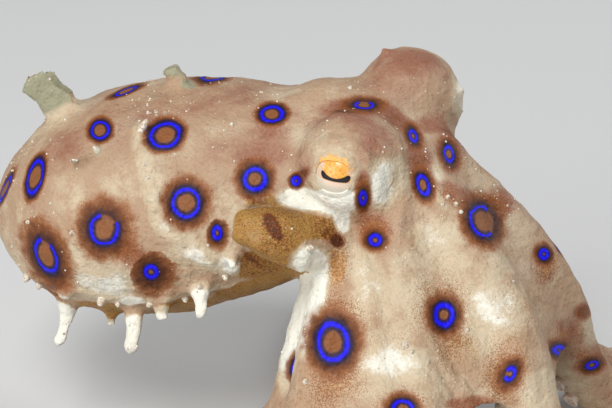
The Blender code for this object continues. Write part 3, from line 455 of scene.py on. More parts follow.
# Small papillae and larger warts in the photo: place, and length and width in mm.
PAPILLAE = (
    (142, 129, 1.7, 1.1), (97, 150, 0.9, 0.9), (309, 248, 1.3, 0.9), (296, 285, 0.9, 0.9),
    (284, 331, 0.9, 0.9), (28, 276, 1.0, 1.1), (40, 284, 0.8, 0.9), (102, 300, 1.0, 1.2),
    (118, 303, 0.6, 0.8), (150, 304, 0.6, 0.8), (185, 298, 0.7, 0.9), (200, 287, 0.6, 0.8),
    (225, 276, 0.7, 0.8), (238, 262, 0.9, 0.7), (148, 113, 0.35, 0.5), (156, 112, 0.35, 0.5),
    (165, 113, 0.35, 0.5), (232, 125, 0.4, 0.6), (148, 178, 0.4, 0.6), (145, 165, 0.35, 0.5),
    (72, 233, 0.4, 0.7), (28, 222, 0.35, 0.6), (350, 88, 0.35, 0.6), (384, 45, 0.7, 0.7),
    (448, 197, 0.4, 0.6), (456, 204, 0.4, 0.6), (443, 204, 0.35, 0.5), (461, 212, 0.4, 0.6),
    (405, 346, 0.4, 0.9), (412, 352, 0.35, 0.6), (305, 382, 0.4, 0.7), (467, 330, 0.35, 0.6),
)

# The tones of the skin, in the order in which each patch gives its changes.
WHITER, BROWNER, MORE_OCHRE, GREENER, DOTTED, EYE_ORANGE = range(6)
# The plain tones: a level, then noises as strength, size and seed.
WHITE_TONE = (0.12, (0.55, 6.5 * MM, 3), (0.2, 2.2 * MM, 8))
BROWN_TONE = (0.26, (0.60, 7.5 * MM, 4))
CROWN_DOTS = (0.12, (0.55, 4.5 * MM, 11))
TONE_LIMITS = (-0.3, 2.2)
# How thick the layer of skin is that a patch reaches, and how far apart a patch and its like on
# the far side lie at least.
PATCH_DEPTH = 8 * MM
PATCH_APART = 9 * MM
# Where a patch is full and where it ends, in its half-sizes: for a soft one, and how much more for
# a sharp one.
PATCH_EDGES = ((0.35, 0.5), (1.6, -0.4))
# Patches further forward than this, or lower on the crown than this, are on one side alone.
PATCH_FRONT = 9 * MM
PATCH_LEAST_HEIGHT = 40 * MM
# The mantle's ochre underside, darker and less white: partly its own ochre, partly painted shade
# on its low side. Its span as shares of the way to the neck and of the girth, its edge in
# half-heights, and that edge's waves as strength, size and seed. On the far side it fades out
# between two shares of the way to the neck.
UNDERSIDE_SPAN = (0.12, 1.12)
UNDERSIDE_GIRTH = (0.7, 1.06)
UNDERSIDE_EDGE = (-0.60, -0.66)
UNDERSIDE_WAVES = (0.05, 1.6 * MM, 5)
UNDERSIDE_END = (1.02, 0.86)
# Flaps and leaves are where the skin stands out of the mantle by these shares of its girth, in this
# span of it: the flaps between these half-heights, the leaves above theirs.
FLAP_GIRTH = (1.03, 1.12)
LEAF_GIRTH = (1.02, 1.2)
FLAP_SPAN = (0.08, 0.85)
FLAP_HEIGHTS = (-1.6, 0.3)
LEAF_HEIGHT = 0.6
# The funnel's colour: its reach from the funnel's line, and where its pale end starts.
FUNNEL_REACH = (4.5 * MM, 3.7 * MM)
FUNNEL_PALE = (-0.7 * MM, -0.1 * MM)
# The crown's dots: how far back and how high they go, and their least and most.
CROWN_BACK = (-9 * MM, -5 * MM)
CROWN_TOP = (44 * MM, 36 * MM)
CROWN_DOT_LIMITS = (0, 0.5)
# The pale underside of crown and arms: how far down it faces, and how high it reaches.
UNDER_FACING = (0.1, -0.7)
UNDER_HEIGHT = 34 * MM
# How each part changes the tones, in their order.
TINTS = {
    "funnel": (-0.7, 0, 1.1), "funnel end": (1.1, 0, -0.8), "flaps": (1.5, -1.2),
    "leaves": (0, -1.2, 0, 1.1), "mantle's underside": (-1.2, 0, 1.3), "underside": (0.5, -0.4),
    "lids": (0.45, -0.5),
}
# The pale lids, as distances from the line that the eye looks along: where their paleness ends and
# where it is full. The orange over the eye: half-width, height over its middle and half-height, and
# in those where it ends and where it is full.
PALE_LIDS = (4.2 * MM, 2.6 * MM)
EYE_SHADE = (2.3 * MM, 1.3 * MM, 1.5 * MM)
EYE_SHADE_EDGE = (1.5, 0.3)

# Colours, as light that the skin sends back.
WHITE = (0.74, 0.725, 0.63, 1)
CREAM = (0.53, 0.43, 0.295, 1)
TAN = (0.40, 0.265, 0.165, 1)
PINK_BROWN = (0.29, 0.135, 0.085, 1)
OCHRE = (0.36, 0.20, 0.050, 1)
GREEN = (0.30, 0.29, 0.19, 1)
RUST = (0.24, 0.068, 0.011, 1)
ORANGE = (0.46, 0.20, 0.040, 1)
ORANGE_DOTS = (0.42, 0.17, 0.018, 1)
BROWN = (0.13, 0.036, 0.008, 1)
DARK_BROWN = (0.048, 0.010, 0.002, 1)
RING_BLUE = (0.004, 0.0, 0.68, 1)
RING_DEEP = (0.004, 0.0, 0.26, 1)
RING_EDGE = (0.010, 0.004, 0.04, 1)
RING_INSIDE = (0.25, 0.115, 0.048, 1)
IRIS = (0.86, 0.42, 0.07, 1)
IRIS_DEEP = (0.62, 0.22, 0.03, 1)
IRIS_PALE = (0.74, 0.56, 0.44, 1)
EYE_CREAM = (0.60, 0.54, 0.43, 1)
PUPIL_BLACK = (0.012, 0.008, 0.008, 1)
SUCKER_PALE = (0.70, 0.60, 0.50, 1)
SUCKER_BROWN = (0.50, 0.33, 0.24, 1)
NO_LIGHT = (0, 0, 0, 1)

# The rings' blue line: how far and over what size it wavers, and its width as shares of its own.
RING_SHAKE = 0.26
RING_SHAKE_SIZE = 1.6 * MM
RING_LINE_LEAST = 0.35
RING_LINE_CHANGE = 0.90
# The dark rim's ragged edge, in its own widths, and the size of its tongues.
RIM_RAGGED = 0.7
RIM_NOISE_SIZE = 1.2 * MM
# The skin's unevenness, its dots and its relief.
MOTTLE_SIZE = 2.4 * MM
MOTTLE_SHARE = 1.7
GRAIN_SIZE = 0.40 * MM
GRAIN_SHARE = 0.9
FINE_DOT_SPACING = 0.21 * MM
DARK_DOT_SPACING = 0.30 * MM
EYE_DOT_SPACING = 0.26 * MM
LUMP_SIZE = 0.9 * MM
BEAD_SPACING = 0.75 * MM

# Plain settings of the shaders. The skin's emission makes the blue ring lines glow a little:
# painted light.
SKIN_SETTINGS = {
    "Emission Strength": 0.22, "Specular IOR Level": 0.28, "Subsurface Weight": 0.10,
    "Subsurface Radius": (1.0, 0.55, 0.35), "Subsurface Scale": 0.5 * MM,
}
EYE_SETTINGS = {
    "Roughness": 0.26, "Specular IOR Level": 0.32, "Coat Weight": 0.15, "Coat Roughness": 0.06,
}
SUCKER_SETTINGS = {
    "Roughness": 0.35, "Subsurface Weight": 0.12, "Subsurface Radius": (1.0, 0.6, 0.45),
    "Subsurface Scale": 0.4 * MM,
}
FLOOR_SETTINGS = {"Base Color": (0.62, 0.62, 0.61, 1), "Roughness": 0.85}
FLOOR_SIZE = 3.0

# Lights: name, place, size and power; the point that they look at; and the air round it all.
LIGHTS = (
    ("key", (0.05, -0.50, 0.66), 0.30, 4.6),
    ("fill", (-0.20, -0.72, 0.22), 0.5, 3.0),
    ("back", (0.30, 0.60, 0.55), 0.5, 2.6),
)
LIGHTS_AIM = Vector((0, 0, 0.03))
AIR_COLOUR = (0.93, 0.95, 1.0, 1)
AIR_STRENGTH = 0.32


def eye_places():
    """For each side: the middle of the eye mound, the eye's aim, and the eye's centre."""
    lean = Matrix.Rotation(HEAD_ROLL, 3, "X")
    places = {}
    for side, sign in (("right", -1), ("left", 1)):
        mound = EYE_MIDDLE + lean @ Vector((0, sign * EYE_SPACING / 2, 0))
        aim = (lean @ Vector((EYE_AIM.x, sign * EYE_AIM.y, EYE_AIM.z))).normalized()
        places[side] = (mound, aim, mound + aim * EYE_OUT)
    return places


def eye_frame(aim):
    """Forward and upward directions across an eye that looks along this aim."""
    forward = (Vector((1, 0, 0)) - aim * aim.x).normalized()
    upward = forward.cross(aim)
    return forward, upward if upward.z > 0 else -upward


EYES = eye_places()
LOW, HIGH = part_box("eye_right")
SHIFT = (LOW + HIGH) / 2 - EYES["right"][2]
CAMERA_RIGHT = Vector((math.cos(CAMERA_AZIMUTH), math.sin(CAMERA_AZIMUTH), 0))
CAMERA_BACK = Vector((
    math.sin(CAMERA_AZIMUTH) * math.cos(CAMERA_ELEVATION),
    -math.cos(CAMERA_AZIMUTH) * math.cos(CAMERA_ELEVATION),
    math.sin(CAMERA_ELEVATION),
))
CAMERA_UP = CAMERA_BACK.cross(CAMERA_RIGHT)
CAMERA_AT = PUPIL + CAMERA_RIGHT * AIM_RIGHT + CAMERA_UP * AIM_UP + CAMERA_BACK * CAMERA_DISTANCE


def photo_ray(x, y):
    """The direction from the camera through a pixel of the photo."""
    spread = CAMERA_SENSOR / CAMERA_LENS / PHOTO_WIDTH
    across = CAMERA_RIGHT * ((x - PHOTO_WIDTH / 2) * spread)
    return (across + CAMERA_UP * ((PHOTO_HEIGHT / 2 - y) * spread) - CAMERA_BACK).normalized()


def spline(points, steps):
    """A smooth curve through the points: a Catmull-Rom spline with this many steps a span."""
    ends = [points[0] * 2 - points[1], *points, points[-1] * 2 - points[-2]]
    out = []
    for before, here, there, after in zip(ends, ends[1:], ends[2:], ends[3:]):
        for step in range(steps):
            t = step / steps
            out.append(0.5 * (
                here * 2 + (there - before) * t
                + (before * 2 - here * 5 + there * 4 - after) * t * t
                + (here * 3 - before - there * 3 + after) * t * t * t
            ))
    out.append(points[-1].copy())
    return out


def lengths_along(points):
    out = [0.0]
    for here, there in zip(points, points[1:]):
        out.append(out[-1] + (there - here).length)
    return out


def at_length(points, lengths, wanted):
    """The point of a line at a distance along it; before its start the line runs on straight."""
    if wanted < 0:
        return points[0] + (points[0] - points[1]).normalized() * -wanted
    for index in range(1, len(points)):
        if lengths[index] >= wanted:
            share = (wanted - lengths[index - 1]) / (lengths[index] - lengths[index - 1])
            return points[index - 1].lerp(points[index], share)
    return points[-1].copy()


def crown_side(angle):
    back = Vector((-MOUTH_AXIS.z, 0, MOUTH_AXIS.x))
    return back * math.cos(angle) + Vector((0, -1, 0)) * math.sin(angle)


def arm_radius(length):
    share = min(1.0, max(0.0, length / ARM_LENGTH))
    return ARM_TIP_RADIUS + (ARM_ROOT_RADIUS - ARM_TIP_RADIUS) * (1 - share ** ARM_TAPER)


def arm_line(arm):
    """The middle line of an arm as closely spaced points, with the distances along it."""
    angle, knee, shin, landing, heading, curl = ARMS[arm]
    start = CROWN + crown_side(math.radians(angle)) * CROWN_RADIUS
    heading = math.radians(heading)
    landing = Vector((*landing, 0)) * MM
    landing.z = LANDING_HEIGHT
    beyond = landing + Vector((math.cos(heading), math.sin(heading), 0)) * 6 * MM
    hanging = spline([start, Vector(knee) * MM, Vector(shin) * MM, landing, beyond], 12)[:-12]
    hung = lengths_along(hanging)[-1]
    points = list(hanging)
    spot = landing.copy()
    lying = ARM_LENGTH - hung
    for index in range(1, int(lying / FLOOR_STEP) + 1):
        along = index * FLOOR_STEP
        turn = heading + math.radians(curl) * (along / lying) ** CURL_POWER
        spot = spot + Vector((math.cos(turn), math.sin(turn), 0)) * FLOOR_STEP
        settled = arm_radius(hung + along) * LYING_SHARE
        ease = min(1.0, along / SETTLING_LENGTH)
        spot.z = LANDING_HEIGHT + (settled - LANDING_HEIGHT) * ease
        points.append(spot.copy())
    return points, lengths_along(points)


ARM_LINES = {arm: arm_line(arm) for arm in ARMS}


def arm_frame(arm, length):
    """Point, direction, side and sucker-side directions of an arm at a distance along it."""
    points, lengths = ARM_LINES[arm]
    here = at_length(points, lengths, length)
    before, after = [at_length(points, lengths, length + step * MM) for step in (-0.6, 0.6)]
    ahead = (after - before).normalized()
    inward = Vector((CROWN.x, CROWN.y, 0)) - Vector((here.x, here.y, 0))
    low, span = UNDERSIDE_HEIGHTS
    lift = min(1.0, max(0.0, (here.z - low) / span))
    down = inward.normalized() * lift + Vector((0, 0, -1))
    under = (down - ahead * down.dot(ahead)).normalized()
    return here, ahead, ahead.cross(under), under


def mantle_axis():
    return (NECK - MANTLE_TIP).normalized()


def mantle_share(t):
    """The mantle's girth at a share t of its length, as a share of its widest."""
    if t < MANTLE_WIDEST:
        return math.sqrt(max(0.0, 1 - ((MANTLE_WIDEST - t) / MANTLE_WIDEST) ** TIP_FULLNESS))
    return 1 - (1 - NECK_SHARE) * ((t - MANTLE_WIDEST) / (1 - MANTLE_WIDEST)) ** NECK_FULLNESS


def mantle_turn():
    """Rotation from the mantle's own frame (x along it, y left, z up) to the world."""
    ahead = mantle_axis()
    left = Vector((0, 0, 1)).cross(ahead).normalized()
    return Matrix((ahead, left, ahead.cross(left))).transposed()


def mantle_spot(t, angle):
    """A point on the mantle's skin and the way out of it. The angle goes up from its left side."""
    turn = mantle_turn()
    level, rise = math.cos(angle), math.sin(angle)
    side = Vector((0, level * MANTLE_HALF_WIDTH, rise * MANTLE_HALF_HEIGHT)) * mantle_share(t)
    out = Vector((0, level / MANTLE_HALF_WIDTH, rise / MANTLE_HALF_HEIGHT)).normalized()
    out.x = (MANTLE_WIDEST - t) * -MANTLE_LEAN
    return MANTLE_TIP.lerp(NECK, t) + turn @ side, (turn @ out).normalized()


# The middle planes of head and mantle: a point on each, and its turn.
MIDDLES = ((EYE_MIDDLE, Matrix.Rotation(HEAD_ROLL, 3, "X")), (NECK, mantle_turn()))


def add_object(name, data):
    made = bpy.data.objects.new(name, data)
    bpy.context.scene.collection.objects.link(made)
    return made


def add_form(name, form):
    """An object made from a form, which is freed."""
    mesh = bpy.data.meshes.new(name)
    form.to_mesh(mesh)
    form.free()
    return add_object(name, mesh)


def loft(form, rings):
    """Joins rings of points into a closed shell, with a fan over each end."""
    rows = [[form.verts.new(point) for point in ring] for ring in rings]
    count = len(rows[0])
    for low, high in zip(rows, rows[1:]):
        for index in range(count):
            after = (index + 1) % count
            form.faces.new((low[index], low[after], high[after], high[index]))
    for row, ring in ((rows[0], rings[0]), (rows[-1], rings[-1])):
        middle = form.verts.new(sum(ring, Vector()) / count)
        for index in range(count):
            form.faces.new((row[index], row[(index + 1) % count], middle))


def circle(centre, first, second, count):
    turns = [math.tau * index / count for index in range(count)]
    return [centre + first * math.cos(turn) + second * math.sin(turn) for turn in turns]


def tube(points, radii, side, count):
    """Rings of points round a line, each with its own radius; the first starts near this side."""
    rings = []
    for index, (point, radius) in enumerate(zip(points, radii)):
        ahead = points[min(index + 1, len(points) - 1)] - points[max(0, index - 1)]
        ahead.normalize()
        side = (side - ahead * side.dot(ahead)).normalized()
        rings.append(circle(point, side * radius, ahead.cross(side) * radius, count))
    return rings


def sweep(form, points, radii):
    """A closed round tube along points, with its own radius at each and a dome at both ends."""
    start = (points[1] - points[0]).normalized()
    end = (points[-1] - points[-2]).normalized()
    rings = tube(points, radii, start.orthogonal().normalized(), ARM_SIDES)
    domes = []
    for at, ahead, inward, outward in (
        (0, -start, 0.45, 0.8), (-1, end, 0.3, 0.6), (-1, end, 0.7, 0.95),
    ):
        way = ahead * radii[at] * outward
        domes.append([spot.lerp(points[at], inward) + way for spot in rings[at]])
    loft(form, [domes[0], *rings, *domes[1:]])


def ellipsoid(form, centre, sizes):
    made = bmesh.ops.create_uvsphere(form, u_segments=48, v_segments=32, radius=1.0)
    bmesh.ops.scale(form, vec=sizes, verts=made["verts"])
    bmesh.ops.translate(form, vec=centre, verts=made["verts"])


def flap(form, root, aim, across, length, width, thickness):
    """A tapering flap of skin that stands up from a root along an aim, with a bent, rounded top."""
    side = aim.cross(across)
    rings = []
    leaf = thickness < LEAF_THICKNESS
    for index in range(-3, FLAP_STEPS + 1):
        share = index / FLAP_STEPS
        wide = 1 - (0.0 if leaf else FLAP_TAPER) * max(0.0, share) ** FLAP_TAPER_POWER
        wide *= math.sqrt(max(0.0, 1 - max(0.0, (share - FLAP_TOP[0]) / FLAP_TOP[1]) ** 2))
        wide *= 1 + FLAP_WAVES[0] * math.sin(share * FLAP_WAVES[1])
        thick = wide * (1 - (LEAF_THINNING if leaf else 0.0) * max(0.0, share))
        bend = across * (FLAP_BEND[0] * math.sin(share * FLAP_BEND[1]) * length * 0.2)
        spot = root + (aim * length * share + bend) * MM
        halves = (across * (width / 2 * wide * MM), side * (thickness / 2 * thick * MM))
        rings.append(circle(spot, *halves, FLAP_SIDES))
    loft(form, rings)


def add_mantle(form):
    rings = []
    turn = mantle_turn()
    length = (NECK - MANTLE_TIP).length
    for index in range(MANTLE_STEPS + 1):
        turn_on = math.pi / 2 * (index + MANTLE_FIRST_RING) / (MANTLE_STEPS + MANTLE_FIRST_RING)
        t = MANTLE_RUN_ON * (1 - math.cos(turn_on))
        across = turn @ Vector((0, MANTLE_HALF_WIDTH * mantle_share(min(t, 1)), 0))
        upward = turn @ Vector((0, 0, MANTLE_HALF_HEIGHT * mantle_share(min(t, 1))))
        centre = MANTLE_TIP + mantle_axis() * length * t
        rings.append(circle(centre, across, upward, MANTLE_SIDES))
    loft(form, rings)


def add_flaps(form):
    """The mantle's flaps: the photo's on the right, and their like on the left."""
    random.seed(SEED)
    ahead = mantle_axis()
    for share, angle, length, width, thickness, lean in FLAPS:
        for side in (1, -1):
            if side < 0:
                share = share + random.uniform(-0.04, 0.04)
                length = length * random.uniform(0.75, 1.1)
            turn = math.radians(180 - angle if side > 0 else angle)
            root, out = mantle_spot(share, turn)
            aim = (out - ahead * lean).normalized()
            if angle < 0:
                aim = (aim - Vector((0, 0, FLAP_DROP))).normalized()
            across = (ahead - aim * ahead.dot(aim)).normalized()
            flap(form, root, aim, across, length, width, thickness)


def add_head(form):
    for centre, sizes in HEAD_LUMPS:
        ellipsoid(form, Vector(centre) * MM, Vector(sizes) * MM)
    for mound, _, _ in EYES.values():
        ellipsoid(form, mound, (MOUND_RADIUS,) * 3)
    for root, direction, length, width in HORNS:
        aim = Vector(direction).normalized()
        flap(form, Vector(root) * MM, aim, aim.orthogonal().normalized(), length, width, width)


def add_funnel(form):
    """The funnel: a bent tube whose wall turns in at its mouth."""
    points = spline([Vector(point) * MM for point in FUNNEL_POINTS], 6)
    spans = len(FUNNEL_RADII) - 1
    radii = []
    for index in range(len(points)):
        place = index / (len(points) - 1) * spans
        low = min(spans - 1, int(place))
        here, there = FUNNEL_RADII[low:low + 2]
        radii.append((here + (there - here) * (place - low)) * MM)
    ahead = (points[-1] - points[-2]).normalized()
    side = ahead.orthogonal().normalized()
    *rings, last = tube(points, radii, side, FUNNEL_SIDES)
    rings = rings[:1 - FUNNEL_END_RINGS]
    for outward, share in FUNNEL_RIM:
        way = ahead * outward * MM
        rings.append([points[-1].lerp(spot, share) + way for spot in last])
    loft(form, rings)


def web_root(arm, length):
    """Where the web joins an arm: inside it, but nearer to its outer side."""
    here, _, _, under = arm_frame(arm, length)
    return here - under * arm_radius(length) * WEB_LIFT


def add_web(form):
    """The web: a thin skirt through all the arms, whose edge hangs in a bow from arm to arm."""
    names = list(ARMS)
    grid = []
    for level in range(WEB_LEVELS + 1):
        share = level / WEB_LEVELS
        row = []
        for pair in zip(names, names[1:] + names[:1]):
            here, there = [web_root(arm, WEB_REACH_ARM * share) for arm in pair]
            first, second = [web_root(arm, WEB_REACH_MIDDLE * share) for arm in pair]
            middle = (first + second) / 2
            control = middle * 2 - (here + there) / 2
            for column in range(WEB_COLUMNS):
                t = column / WEB_COLUMNS
                row.append(here * (1 - t) ** 2 + control * 2 * t * (1 - t) + there * t ** 2)
        grid.append(row)
    sheet = bmesh.new()
    rows = [[sheet.verts.new(point) for point in row] for row in grid]
    for upper, lower in zip(rows, rows[1:]):
        for index in range(len(upper)):
            after = (index + 1) % len(upper)
            sheet.faces.new((upper[index], upper[after], lower[after], lower[index]))
    web = add_form("web", sheet)
    thick = web.modifiers.new("thickness", "SOLIDIFY")
    thick.thickness = WEB_THICKNESS
    thick.offset = 0
    form.from_mesh(web.evaluated_get(bpy.context.evaluated_depsgraph_get()).to_mesh())
    bpy.data.objects.remove(web)


def add_arms(form):
    for arm in ARMS:
        whole = ARM_LENGTH + ROOT_INSET
        spots = [-ROOT_INSET + whole * index / ARM_STEPS for index in range(ARM_STEPS + 1)]
        points = [arm_frame(arm, spot)[0] for spot in spots]
        sweep(form, points, [arm_radius(spot) for spot in spots])
    root = CROWN + MOUTH_AXIS * MM
    lip = [root + MOUTH_AXIS * MOUTH_LENGTH * share for share in (0, 0.5, 0.85)]
    sweep(form, lip, [MOUTH_RADIUS] * 3)


def raw_skin():
    """All the forms run together into one closed skin by a voxel remesh."""
    form = bmesh.new()
    for add in (add_head, add_mantle, add_flaps, add_funnel, add_web, add_arms):
        add(form)
    bmesh.ops.recalc_face_normals(form, faces=form.faces)
    skin = add_form("skin", form)
    remesh = skin.modifiers.new("remesh", "REMESH")
    remesh.mode = "VOXEL"
    remesh.voxel_size = SKIN_VOXEL
    settled = skin.evaluated_get(bpy.context.evaluated_depsgraph_get())
    made = bpy.data.meshes.new_from_object(settled)
    skin.modifiers.clear()
    skin.data = made
    return skin


def refine_eyes(skin):
    """Gives the skin round each eye a mesh fine enough for lids."""
    form = bmesh.new()
    form.from_mesh(skin.data)
    fronts = [centre + aim * EYE_RADIUS for _, aim, centre in EYES.values()]
    for _ in range(2):
        edges = []
        for edge in form.edges:
            middle = (edge.verts[0].co + edge.verts[1].co) / 2
            if any((middle - front).length < EYE_REGION for front in fronts):
                edges.append(edge)
        bmesh.ops.subdivide_edges(form, edges=edges, cuts=1, use_grid_fill=True)
    form.to_mesh(skin.data)
    form.free()


class Shape:
    """The skin's points and edges as arrays, to smooth and to shift."""

    def __init__(self, mesh):
        self.mesh = mesh
        count = len(mesh.vertices)
        flat = np.empty(count * 3)
        mesh.vertices.foreach_get("co", flat)
        self.points = flat.reshape(-1, 3)
        pairs = np.empty(len(mesh.edges) * 2, dtype=np.int64)
        mesh.edges.foreach_get("vertices", pairs)
        pairs = pairs.reshape(-1, 2)
        self.starts = np.concatenate((pairs[:, 0], pairs[:, 1]))
        self.ends = np.concatenate((pairs[:, 1], pairs[:, 0]))
        self.degree = np.bincount(self.starts, minlength=count).astype(float)

    def average(self, values):
        """The mean of the neighbours' values at each point."""
        columns = []
        for column in values.T:
            total = np.bincount(self.starts, weights=column[self.ends], minlength=len(values))
            columns.append(total / self.degree)
        return np.stack(columns, axis=1)

    def store(self):
        self.mesh.vertices.foreach_set("co", self.points.ravel())
        self.mesh.update()

    def normals(self):
        self.store()
        flat = np.empty(len(self.points) * 3)
        self.mesh.vertex_normals.foreach_get("vector", flat)
        return flat.reshape(-1, 3)

    def smooth(self, rounds, amount=0.5):
        for _ in range(rounds):
            self.points += (self.average(self.points) - self.points) * amount

    def fill_hollows(self, rounds, chosen=1.0):
        """Smooths only where the surface is hollow, so that flesh rounds off into flesh."""
        for _ in range(rounds):
            change = self.average(self.points) - self.points
            inward = np.sum(change * self.normals(), axis=1, keepdims=True) <= 0
            self.points += np.where(inward, change * OTHER_STEP, change * HOLLOW_STEP) * chosen


def open_eyes(shape):
    """Sinks the skin over each eyeball and raises the lids round the opening."""
    for _, aim, centre in EYES.values():
        forward, upward = eye_frame(aim)
        away = shape.points - np.array(centre)
        x = away @ np.array(forward)
        y = away @ np.array(upward)
        out = away @ np.array(aim)
        near = (out > 0) & (x * x + y * y < EYE_REGION ** 2)
        power = OPENING_SQUARENESS
        reach = np.abs(x / OPENING[0]) ** power + np.abs(y / OPENING[1]) ** power
        reach = reach ** (1 / power)
        sunk = 1 - smooth_step(*OPENING_EDGE, reach)
        ridge = np.exp(-((reach - LID_RIDGE[0]) / LID_RIDGE[1]) ** 2)
        ball = np.sqrt(np.maximum(0.0, EYE_RADIUS ** 2 - x * x - y * y))
        share = LID_SHARE + LID_UPPER_MORE * np.sign(y)
        lid = np.maximum(out, ball + LID_GAP) + LID_RISE * ridge * share
        wanted = lid * (1 - sunk) + (ball - OPENING_DEPTH) * sunk
        fade = 1 - smooth_step(*LID_END, reach)
        change = np.where(near, (wanted - out) * np.maximum(fade, sunk), 0.0)
        shape.points += change[:, None] * np.array(aim)


def smooth_step(low, high, value):
    t = np.clip((value - low) / (high - low), 0, 1)
    return t * t * (3 - 2 * t)


def noise_at(points, size, seed):
    """Smooth noise of this size in metres at each point, from about -1 to 1."""
    offset = Vector((seed * 3.7, seed * 1.9, seed * 5.3))
    return np.array([noise.noise(Vector(point) / size + offset) for point in points])


def noisy(points, level, *noises):
    """At each point a level with noises added, each with its strength, size and seed."""
    return sum((strength * noise_at(points, size, seed) for strength, size, seed in noises), level)


def wrinkle(shape):
    """Soft folds and lumps in the skin, weaker on the thin arm tips."""
    normals = shape.normals()
    rise = noisy(shape.points, 0, *WRINKLES)
    low, at_eye = WRINKLE_LEAST
    amount = low + (1 - low) * smooth_step(*WRINKLE_HEIGHTS, shape.points[:, 2])
    for _, aim, centre in EYES.values():
        distance = np.linalg.norm(shape.points - np.array(centre + aim * EYE_RADIUS), axis=1)
        amount = amount * (at_eye + (1 - at_eye) * smooth_step(*WRINKLE_EYE_GAPS, distance))
    shape.points += normals * ((rise - WRINKLE_LEVEL) * MM * amount)[:, None]


def line_distance(points, line):
    """Distance from each point to a line of corners."""
    least = np.full(len(points), 1.0)
    for start, end in zip(line, line[1:]):
        first = np.array(start)
        span = np.array(end) - first
        share = np.clip(((points - first) @ span) / max(span @ span, 1e-12), 0, 1)
        least = np.minimum(least, np.linalg.norm(points - first - share[:, None] * span, axis=1))
    return least


def skin_tree_of(shape, faces):
    return BVHTree.FromPolygons([Vector(point) for point in shape.points], faces)


def add_folds(shape, tree):
    """Raises the ridges and sinks the grooves that the photo shows."""
    normals = shape.normals()
    shift = np.zeros(len(shape.points))
    uneven = noisy(shape.points, 1, FOLD_NOISE)
    for height, half_width, *pixels in FOLDS:
        corners = [tree.ray_cast(CAMERA_AT, photo_ray(*pixel))[0] for pixel in pixels]
        line = [corner for corner in corners if corner is not None]
        if len(line) > 1:
            line = spline(line, 5)
            distance = line_distance(shape.points, line) / (half_width * MM)
            shift += height * np.exp(-distance ** 2) * uneven
    shape.points += normals * (shift * MM)[:, None]


def turn_rows(turn):
    """The two directions of a plane's frame after a turn."""
    return np.array(((math.cos(turn), math.sin(turn)), (-math.sin(turn), math.cos(turn))))


